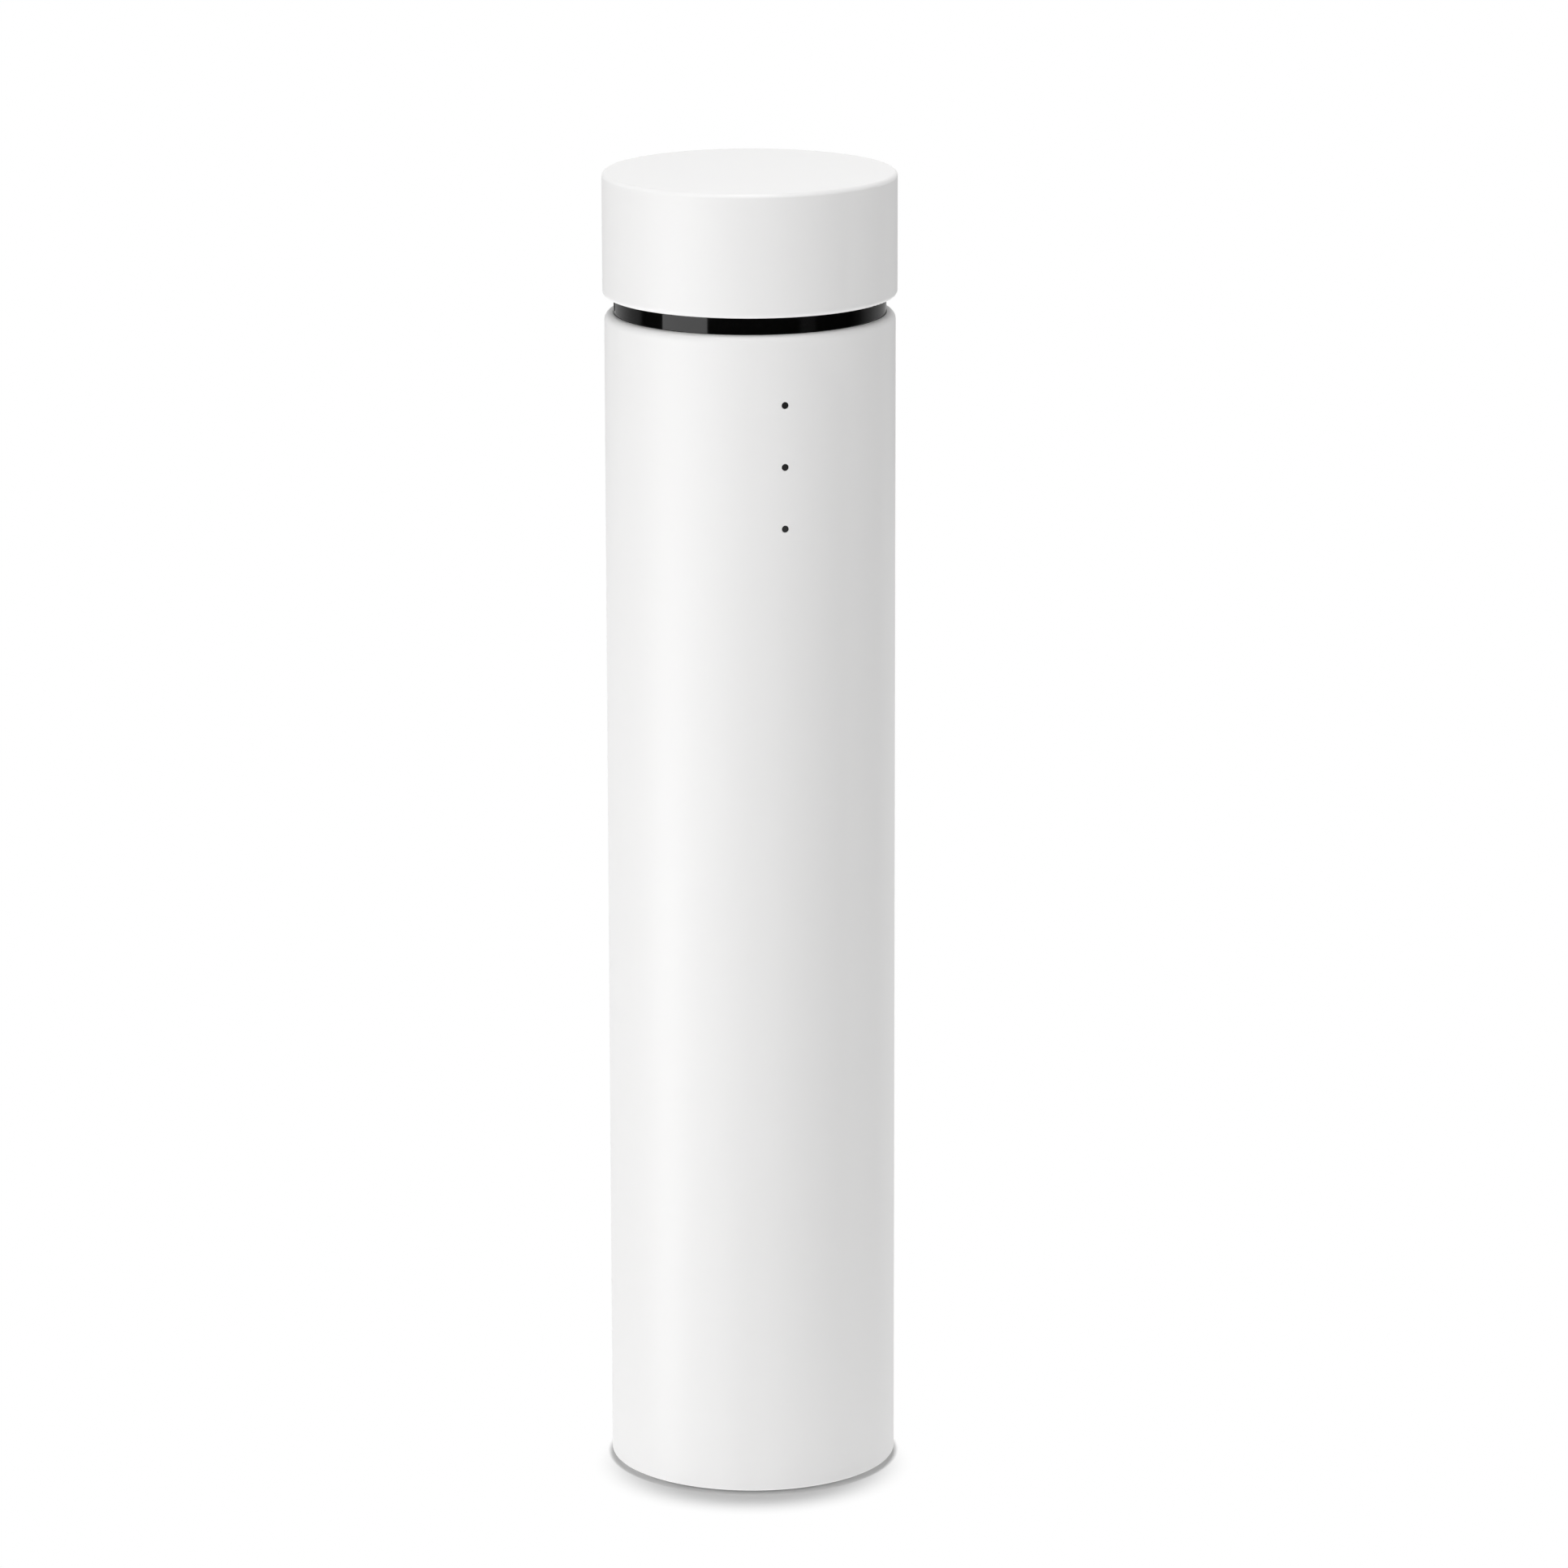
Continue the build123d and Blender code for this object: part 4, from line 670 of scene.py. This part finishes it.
def add_piece(name, body, slot, surface, stands_for=(), sharp=35):
    """Make the finished piece from (points, quads) in millimetres, in its slot's finish: weld equal
    points, turn the faces outwards, shade it smooth except at edges sharper than sharp degrees,
    give large faces the say over normals, tie it to its body, and hide the CAD solids that it
    stands for."""
    points, faces = surface
    piece = new_object(name, points * mm, faces, finishes[slot])
    mesh = piece.data
    work = bmesh.new()
    work.from_mesh(mesh)
    bmesh.ops.remove_doubles(work, verts=work.verts, dist=weld_gap * mm)
    bmesh.ops.dissolve_degenerate(work, edges=work.edges, dist=weld_gap * mm / 2)
    bmesh.ops.recalc_face_normals(work, faces=work.faces)
    work.to_mesh(mesh)
    work.free()
    mesh.shade_smooth()
    mesh.set_sharp_from_angle(angle=radians(sharp))
    piece.modifiers.new("even_shading", "WEIGHTED_NORMAL").keep_sharp = True
    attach(piece, body)
    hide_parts(*stands_for)
    size = (points.max(0) - points.min(0)).round(1)
    print(name, "has", len(mesh.polygons), "faces and measures", size, "mm")
    return piece


# %% [markdown]
# ## The pierced tubes
# The casing and the neck are turned walls with many small openings, each with the soft lip of a
# moulding. Cutting with booleans leaves ragged triangles, so the wall is a grid with a block of
# cells left out for each opening. A collar of loops joins the outer block's border to the inner
# one's, following the rounded hole on the way.

# %% Function: a turned wall with soft-lipped openings


def with_levels(outline, levels):
    """Add points at these heights to every long upright side of a closed outline."""
    pieces = []
    for start, end in zip(outline, np.roll(outline, -1, 0)):
        pieces.append(start[None])
        if abs(start[0] - end[0]) < weld_gap and abs(end[1] - start[1]) > np.ptp(levels):
            inside = np.sort(levels)[:: 1 if end[1] > start[1] else -1]
            pieces.append(np.stack([np.full(len(inside), start[0]), inside], 1))
    return np.concatenate(pieces)


def block_border(turns, heights):
    """The border of a block of grid cells as one closed loop of (turn, height)."""
    block = np.stack(np.meshgrid(turns, heights), -1)
    return np.concatenate([block[0, :-1], block[:-1, -1], block[-1, :0:-1], block[:0:-1, 0]])


def pierced_tube(outline, turns, levels, outer, inner, holes, lip_steps=3):
    """A turned wall with openings. Each hole is (middle turn, middle height, half turn, half
    height of its block, half width and half height of its core, corner radius, lip). The
    hole's edge is, for each border point, the nearest point of the core rectangle plus the
    radius towards that point, cut straight through the wall, so that its turn is the middle
    turn plus the arcsine of its offset over the radius."""
    outline = with_levels(outline, levels)
    points, faces = revolve(outline, turns)
    after = np.roll(turns, -1)
    cell_turn = np.repeat(np.where(after > turns, (turns + after) / 2, turns), len(outline))
    ends = np.stack([outline, np.roll(outline, -1, 0)])
    cell_height = np.tile(ends[:, :, 1].mean(0), len(turns))
    from_walls = np.abs(ends[..., :1] - (outer, inner)).max(0).min(1)
    on_wall = np.tile(from_walls < weld_gap, len(turns))
    kept = np.ones(len(faces), bool)
    collars = []
    for turn, height, half_turn, half_height, core_width, core_height, radius, lip in holes:
        inside = (abs(cell_turn - turn) < half_turn) & (abs(cell_height - height) < half_height)
        kept &= ~(on_wall & inside)
        columns = turns[abs(turns - turn) < half_turn + 1e-6]
        rows = levels[abs(levels - height) < half_height + weld_gap]
        border = block_border(columns, rows)
        offset = np.stack([outer * np.sin(border[:, 0] - turn), border[:, 1] - height], 1)
        core = np.clip(offset, (-core_width, -core_height), (core_width, core_height))
        tilt = np.linspace(0, np.pi / 2, lip_steps + 1)
        growth, sink = lip * (1 - np.sin(tilt)), lip * (1 - np.cos(tilt))
        growth = np.concatenate([growth, growth[::-1]])
        depth = np.concatenate([outer - sink, inner + sink[::-1]])
        edge = core + unit(offset - core) * (radius + growth[:, None, None])
        ring_turn = turn + np.arcsin(edge[..., 0] / depth[:, None])
        middle = around(depth[:, None], ring_turn, height + edge[..., 1])
        first, last = (around(wall, border[:, 0], border[:, 1])[None] for wall in (outer, inner))
        rings = np.concatenate([first, middle, last])
        collars.append((rings.reshape(-1, 3), grid_faces(len(rings), len(border), wrap_rows=False)))
    return joined([(points, faces[kept])] + collars)


# %% [markdown]
# ## The casing tube
# The tube is moulded in one piece: a wide soft rim at the top, a small one at the foot, two inner
# ledges, fifteen columns of three intake slots at the back, the power inlet and the button
# below them, and three pin-holes for the indicator dots in front.

# %% Build the casing tube
shell_radius, shell_bottom, shell_top = measures("body_shell")
neck_radius, neck_bottom, neck_top = measures("collar_ring")
shell_wall, rim_rounding, foot_rounding = 2.0, 1.7, 0.5
shell_inner = shell_radius - shell_wall
upper_ledge, lower_ledge = neck_bottom, measures("base_plate")[1] + 3.0
upper_inner, lower_inner = shell_inner - 1.0, shell_inner - 0.5
upper_depth, lower_depth = 1.5, 1.0
back_turn, front_turn = np.pi / 2, -np.pi / 2

slot_pitch, slot_rise, intake_middle = np.radians(8.0), 16.0, 50.0
slot_core, slot_corner, slot_lip = 5.4, 1.1, 0.4
slot_turns = in_a_row(15, slot_pitch, back_turn)
slot_heights = in_a_row(3, slot_rise, intake_middle)
inlet_middle, button_middle, dot_middle = (
    sum(measures(node)[1:]) / 2 for node in ("power_inlet", "power_button", "indicator_lenses"))
dot_pitch, dot_radius, dot_lip = 14.05, 0.8, 0.12
dot_block, dot_half_turn = 2.2, np.radians(4.0)
dot_heights = in_a_row(3, dot_pitch, dot_middle)
clearance, button_hole, service_lip = 0.1, 3.2, 0.25
inlet_low, inlet_high = np.array(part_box("power_inlet")) / mm
inlet_corner = (inlet_high[2] - inlet_low[2]) / 2 + clearance
inlet_core = (inlet_high[0] - inlet_low[0]) / 2 + clearance - inlet_corner
service_block, service_half_turn = (button_middle - inlet_middle) / 2, np.radians(12.0)

holes = [(turn, height, slot_pitch / 2, slot_rise / 2, 0.0, slot_core, slot_corner, slot_lip)
         for turn in slot_turns for height in slot_heights]
holes += [(front_turn, height, dot_half_turn, dot_block, 0.0, 0.0, dot_radius, dot_lip)
          for height in dot_heights]
holes += [(back_turn, height, service_half_turn, service_block, core, 0.0, corner, service_lip)
          for height, core, corner in ((inlet_middle, inlet_core, inlet_corner),
                                       (button_middle, 0.0, button_hole))]
hole_rows = [((inlet_middle, button_middle), service_block * both_ways(0.2, 0.5, 1.0)),
             (slot_heights, both_ways(0.0, slot_core, 5.9, 6.4, 7.1, slot_rise / 2)),
             (dot_heights, both_ways(0.4, 1.1, dot_block))]
levels = np.concatenate([middle + rows for middles, rows in hole_rows for middle in middles])
levels = np.unique(levels.round(5))
shell_turns = np.radians(np.unique(np.concatenate([
    np.arange(-180, 180, 2.0), np.arange(-94, -85.9, 0.8), np.arange(30, 150.1, 2 / 3)]).round(5)))
shell_outline = rounded([
    (shell_inner, shell_bottom, 0), (shell_radius, shell_bottom, foot_rounding),
    (shell_radius, shell_top, rim_rounding), (shell_inner, shell_top, 0),
    (shell_inner, upper_ledge, 0), (upper_inner, upper_ledge, 0),
    (upper_inner, upper_ledge - upper_depth, 0), (shell_inner, upper_ledge - upper_depth, 0),
    (shell_inner, lower_ledge + lower_depth, 0), (lower_inner, lower_ledge + lower_depth, 0),
    (lower_inner, lower_ledge, 0), (shell_inner, lower_ledge, 0)])
add_piece("casing_tube", "housing", "white_casing",
          pierced_tube(shell_outline, shell_turns, levels, shell_radius, shell_inner, holes),
          stands_for=["body_shell"])

# %% [markdown]
# ## The neck
# The black neck is a glossy moulding that shows for only four millimetres. The whole ring is
# here: a deep groove for its rubber seal, and a row of rounded outlet ports in its back half.
# The same function makes it, with a core rectangle for each port.

# %% Build the neck
port_count, port_pitch = 23, np.radians(7.6)
port_height = (shell_top + measures("top_cap")[1]) / 2
port_core, port_corner, port_lip, port_block = (0.6, 0.8), 0.6, 0.25, 1.9
neck_inner, groove_inner, grip_bore = neck_radius - 1.8, neck_radius - 1.1, 28.75
stop_inner, stop_bottom = neck_inner - 1.2, measures("filter_sleeve")[2]
stop_top = stop_bottom + 1.2
groove_low, groove_high = measures("cap_seal")[1:] + np.array([-0.05, 0.05])
port_rows = port_height + both_ways(0.0, 0.8, 1.4, port_block)
edge_turns = in_a_row(8 * port_count + 1, port_pitch / 8, back_turn)
rest_turns = np.linspace(edge_turns[-1], edge_turns[0] + 2 * np.pi, 96)[1:-1]
neck_turns = np.sort(np.mod(np.concatenate([edge_turns, rest_turns]) + np.pi, 2 * np.pi) - np.pi)
neck_outline = rounded([
    (grip_bore, neck_bottom, 0.2), (neck_radius, neck_bottom, 0.3),
    (neck_radius, groove_low, 0.1), (groove_inner, groove_low, 0), (groove_inner, groove_high, 0),
    (neck_radius, groove_high, 0.1), (neck_radius, neck_top, 0.3), (neck_inner, neck_top, 0.3),
    (neck_inner, stop_top, 0), (stop_inner, stop_top, 0.2), (stop_inner, stop_bottom, 0),
    (grip_bore, stop_bottom, 0)])
ports = [(turn, port_height, port_pitch / 2, port_block, *port_core, port_corner, port_lip)
         for turn in in_a_row(port_count, port_pitch, back_turn)]
add_piece("neck_ring", "housing", "black_gloss",
          pierced_tube(neck_outline, neck_turns, port_rows, neck_radius, neck_inner, ports),
          stands_for=["collar_ring"])

# %% [markdown]
# ## The intake net
# Behind the slots lies a washable net of woven nylon. Each thread rises and falls by its own
# radius at every crossing, and its neighbours are half a wave behind. A thread is a four-sided
# tube carried along that wave on the cylinder.

# %% Function and piece: woven net on a cylinder
net_outer, net_bottom, net_top = measures("prefilter_mesh", axis=1)
net_radius = net_outer - 0.7
net_half_turn = np.radians(64.0)
thread_radius, net_pitch, hem = 0.2, 1.5, 2.0


def tube(path, radius, sides=4):
    """Carry a small regular polygon along a path of points. At each point its plane is spanned by
    the outward direction and the cross product of that direction with the path's own."""
    along = unit(np.gradient(path, axis=0))
    outward = unit(path * (1, 1, 0))
    outward = unit(outward - along * (outward * along).sum(1, keepdims=True))
    aside = np.cross(along, outward)
    angle = 2 * np.pi * np.arange(sides) / sides
    ring = np.cos(angle)[:, None] * outward[:, None] + np.sin(angle)[:, None] * aside[:, None]
    points = path[:, None] + radius * ring
    return points.reshape(-1, 3), grid_faces(len(path), sides, wrap_rows=False)


def curved_plate(turns, radii, heights, steps=64):
    """A curved bar with square section between two turns, radii and heights, closed at its ends."""
    turn = np.linspace(*turns, steps)[:, None]
    radius = np.array([radii[0], radii[1], radii[1], radii[0]])
    height = np.array([heights[0], heights[0], heights[1], heights[1]])
    sides = grid_faces(steps, 4, wrap_rows=False)
    ends = np.array([(0, 1, 2, 3), np.arange(4) + 4 * (steps - 1)])
    return around(radius, turn, height).reshape(-1, 3), np.concatenate([sides, ends])


rows = np.arange(net_bottom + hem + net_pitch / 2, net_top - hem, net_pitch)
step = net_pitch / net_radius
inner_half = net_half_turn - hem / net_radius
columns = in_a_row(2 * int(inner_half / step) + 1, step, back_turn)
threads = []
for index, height in enumerate(rows):
    turn = np.arange(back_turn - inner_half, back_turn + inner_half, step / 2)
    wave = thread_radius * np.cos(np.pi * (turn - columns[0]) / step + np.pi * index)
    threads.append(tube(around(net_radius + wave, turn, height), thread_radius))
for index, turn in enumerate(columns):
    height = np.arange(net_bottom + hem, net_top - hem, net_pitch / 2)
    wave = -thread_radius * np.cos(np.pi * (height - rows[0]) / net_pitch + np.pi * index)
    threads.append(tube(around(net_radius + wave, turn, height), thread_radius))
span = (back_turn - net_half_turn, back_turn + net_half_turn)
band = (net_radius - 0.6, net_radius + 0.5)
hem_turn = hem / net_radius
threads += [curved_plate(span, band, (net_bottom, net_bottom + hem)),
            curved_plate(span, band, (net_top - hem, net_top)),
            curved_plate((span[0], span[0] + hem_turn), band, (net_bottom, net_top), 6),
            curved_plate((span[1] - hem_turn, span[1]), band, (net_bottom, net_top), 6)]
add_piece("intake_net", "housing", "prefilter_net", joined(threads), stands_for=["prefilter_mesh"])
print(len(rows), "threads across and", len(columns), "upright")

# %% [markdown]
# ## The pleated paper
# The cartridge holds a long sheet of filter paper, folded into a ring. Its line is a wave with
# rounded tips: the arcsine of a slightly flattened sine gives straight flanks and a small radius
# at each fold. The flanks sway a little over their height.

# %% Build the pleated paper
media_radius, media_bottom, media_top = measures("pleated_filter")
media_inner, paper_thickness = 17.5, 0.45
pleat_count, fold_sharpness = 56, 0.985
sway_size, sway_length = 0.18, 9.0
samples, paper_rows = 16 * pleat_count, 24
turn = full_turn(samples)[:, None]
height = np.linspace(media_bottom, media_top, paper_rows)
fold = np.arcsin(fold_sharpness * np.sin(pleat_count * turn)) / np.arcsin(fold_sharpness)
reach = (media_radius - media_inner - paper_thickness) / 2
middle = (media_radius + media_inner) / 2
held = np.sin(np.pi * (height - media_bottom) / (media_top - media_bottom))
sway = sway_size / middle * np.sin(height / sway_length + 3 * turn) * held
sheet_points = around(middle + reach * fold, turn + sway, height).reshape(-1, 3)
pleats = add_piece("pleated_paper", "cartridge", "pleat_paper",
                   (sheet_points, grid_faces(samples, paper_rows, wrap_columns=False)),
                   stands_for=["pleated_filter"], sharp=60)
pleats.modifiers.clear()
thickness = pleats.modifiers.new("paper_thickness", "SOLIDIFY")
thickness.thickness = paper_thickness * mm
thickness.offset = 0.0
flank = np.hypot(2 * reach, np.pi * middle / pleat_count)
print("the sheet is", round(float(2 * pleat_count * flank)), "mm long before folding")

# %% [markdown]
# ## The cartridge cage
# An open plastic cage keeps the pleats in shape, with soft lips that don't cut the paper. Ten
# windows around and five up leave narrow ribs, and the pierced tube function makes it again,
# with a wide core rectangle for each window.

# %% Build the cage
cage_radius, cage_bottom, cage_top = measures("filter_cage")
cage_inner, cage_rib = cage_radius - 0.6, 3.2
cage_rows, cage_columns = 5, 10
row_pitch = (cage_top - cage_bottom) / cage_rows
cell_half, cell_rise = np.radians(16.5), 0.995 * row_pitch / 2
window_corner, window_lip = 1.2, 0.2
window_core = (cage_radius * np.sin(np.pi / cage_columns) - cage_rib / 2 - window_corner,
               (row_pitch - cage_rib) / 2 - window_corner)
window_turns = np.mod(back_turn + full_turn(cage_columns) + np.pi, 2 * np.pi) - np.pi
cage_turns = np.sort((window_turns[:, None] + cell_half * np.linspace(-1, 1, 13)).ravel())
window_heights = in_a_row(cage_rows, row_pitch, (cage_bottom + cage_top) / 2)
window_rows = both_ways(0.0, 0.6, 0.9, 0.995) * row_pitch / 2
cage_levels = (window_heights[:, None] + window_rows).ravel()
cage_outline = rounded([(cage_inner, cage_bottom, 0), (cage_radius, cage_bottom, 0),
                        (cage_radius, cage_top, 0), (cage_inner, cage_top, 0)], 1)
windows = [(turn, height, cell_half, cell_rise, *window_core, window_corner, window_lip)
           for turn in window_turns for height in window_heights]
add_piece("cartridge_cage", "cartridge", "cartridge_plastic",
          pierced_tube(cage_outline, cage_turns, cage_levels, cage_radius, cage_inner, windows),
          stands_for=["filter_cage"])

# %% [markdown]
# ## The motor windings
# Enamelled wire is wound on six teeth in three layers, out, back and out again, each in the
# grooves of the last. One turn is a rounded rectangle round the tooth. The wire slides along the
# tooth by its own width per turn, and both ends run down to the board.

# %% Build the windings
core_bottom, core_top = measures("stator_core")[1:]
coil_radius, board_level = measures("stator_coils")[0], measures("motor_board")[2]
tooth_count, tooth_half, coil_depth, wire = 6, 1.15, 1.4, 0.33
coil_middle = (core_bottom + core_top) / 2
turn_layers = np.repeat([0, 1, 2], [4, 3, 4])
layer_places = [0.6 + np.arange(4), 3.1 - np.arange(3), 0.6 + np.arange(4)]
turn_places = coil_radius - coil_depth + wire * np.concatenate(layer_places)
paths = []
for index, layer in enumerate(turn_layers):
    swell = (0.5 + layer * np.sqrt(3) / 2) * wire
    aside, rise = tooth_half + swell, (core_top - core_bottom) / 2 + 0.05 + swell
    loop = rounded([(-aside, rise, swell), (aside, rise, swell), (aside, -rise, swell),
                    (-aside, -rise, swell)], 4)
    share = index + np.arange(len(loop)) / len(loop)
    slide = np.interp(share, np.arange(len(turn_places)), turn_places)
    paths.append(np.stack([slide, loop[:, 0], coil_middle + loop[:, 1]], 1))
path = np.concatenate(paths)[:-5]
start, end = path[0], path[-1]
lead_in = [(start[0], start[1] - 0.1, board_level)]
lead_out = [(end[0], 0.0, end[2]), (end[0], -0.1, board_level)]
path = np.concatenate([lead_in, path, lead_out])
windings = []
for turn in full_turn(tooth_count):
    spin = np.array([(np.cos(turn), np.sin(turn), 0), (-np.sin(turn), np.cos(turn), 0), (0, 0, 1)])
    windings.append(tube(path @ spin, wire / 2, sides=6))
add_piece("motor_windings", "housing", "enamelled_copper", joined(windings),
          stands_for=["stator_coils"], sharp=75)
print(len(path), "points of wire on each of", tooth_count, "teeth")

# %% [markdown]
# ## Ball bearings
# A miniature bearing is two ground rings with broken edges and a thin shield between them, a
# little below their faces. It is a revolved outline, the same for both bearings.

# %% Build the bearings
for storey in ("lower", "upper"):
    rim_radius, bottom, top = measures(storey + "_bearing")
    bore, inner_ring, outer_ring, shield = 1.02, 1.55, rim_radius - 0.5, 0.12
    face = [(bore, 0, 0.1), (inner_ring, 0, 0.05), (inner_ring, shield, 0.03),
            (outer_ring, shield, 0.03), (outer_ring, 0, 0.05), (rim_radius, 0, 0.12)]
    race = [(across, bottom + depth, rounding) for across, depth, rounding in face]
    race += [(across, top - depth, rounding) for across, depth, rounding in face[::-1]]
    add_piece(storey + "_race", "housing", "bearing_steel",
              revolve(rounded(race, 3), full_turn(96)), stands_for=[storey + "_bearing"])

# %% [markdown]
# ## The rubber foot
# The foot ring grips the table with fine lips. Moulded rubber has no sharp edge, so its outline
# has four shallow grooves in the underside and is rounded everywhere.

# %% Build the foot
foot_outer, foot_bottom, foot_top = measures("foot_ring")
foot_inner = foot_outer - 5.0
lip, groove, groove_depth = 0.7, 0.375, 0.35
groove_starts = foot_inner + lip + (lip + groove) * np.arange(4)
grooves = [(start + across, foot_bottom + rise, 0.1) for start in groove_starts for across, rise in
           ((0, 0), (0, groove_depth), (groove, groove_depth), (groove, 0))]
foot_outline = rounded([(foot_inner, foot_bottom, 0.25), *grooves, (foot_outer, foot_bottom, 0.25),
                        (foot_outer, foot_top, 0.1), (foot_inner, foot_top, 0.1)], 3)
add_piece("rubber_foot", "housing", "grey_rubber", revolve(foot_outline, full_turn(160)),
          stands_for=["foot_ring"])

# %% [markdown]
# ## Contacts in the power inlet
# The tongue of the socket carries twelve flat springs on each face: plated bars that stand out
# of the moulding by a few hundredths of a millimetre.

# %% Build the contacts
tongue_end, *tongue_faces = measures("inlet_tongue", axis=1)
contact_pitch, contact_half, contact_rise = 0.5, 0.13, 0.03
contact_start, contact_length = tongue_end - 4.0, 3.5
cube = np.array([(x, y, z) for x in (-1, 1) for y in (0, 1) for z in (-1, 1)], float)
cube_faces = np.array([(0, 1, 3, 2), (4, 6, 7, 5), (0, 4, 5, 1), (2, 3, 7, 6), (0, 2, 6, 4),
                       (1, 5, 7, 3)])
bar = cube * (contact_half, contact_length, contact_rise)
bars = [(bar + (place, contact_start, level), cube_faces)
        for level in tongue_faces for place in in_a_row(12, contact_pitch)]
add_piece("inlet_contacts", "housing", "bright_steel", joined(bars))

# %% [markdown]
# ## Update the scene
# The dressed model has to stay inside the CAD model's box.

# %% Update the view layer
bpy.context.view_layer.update()
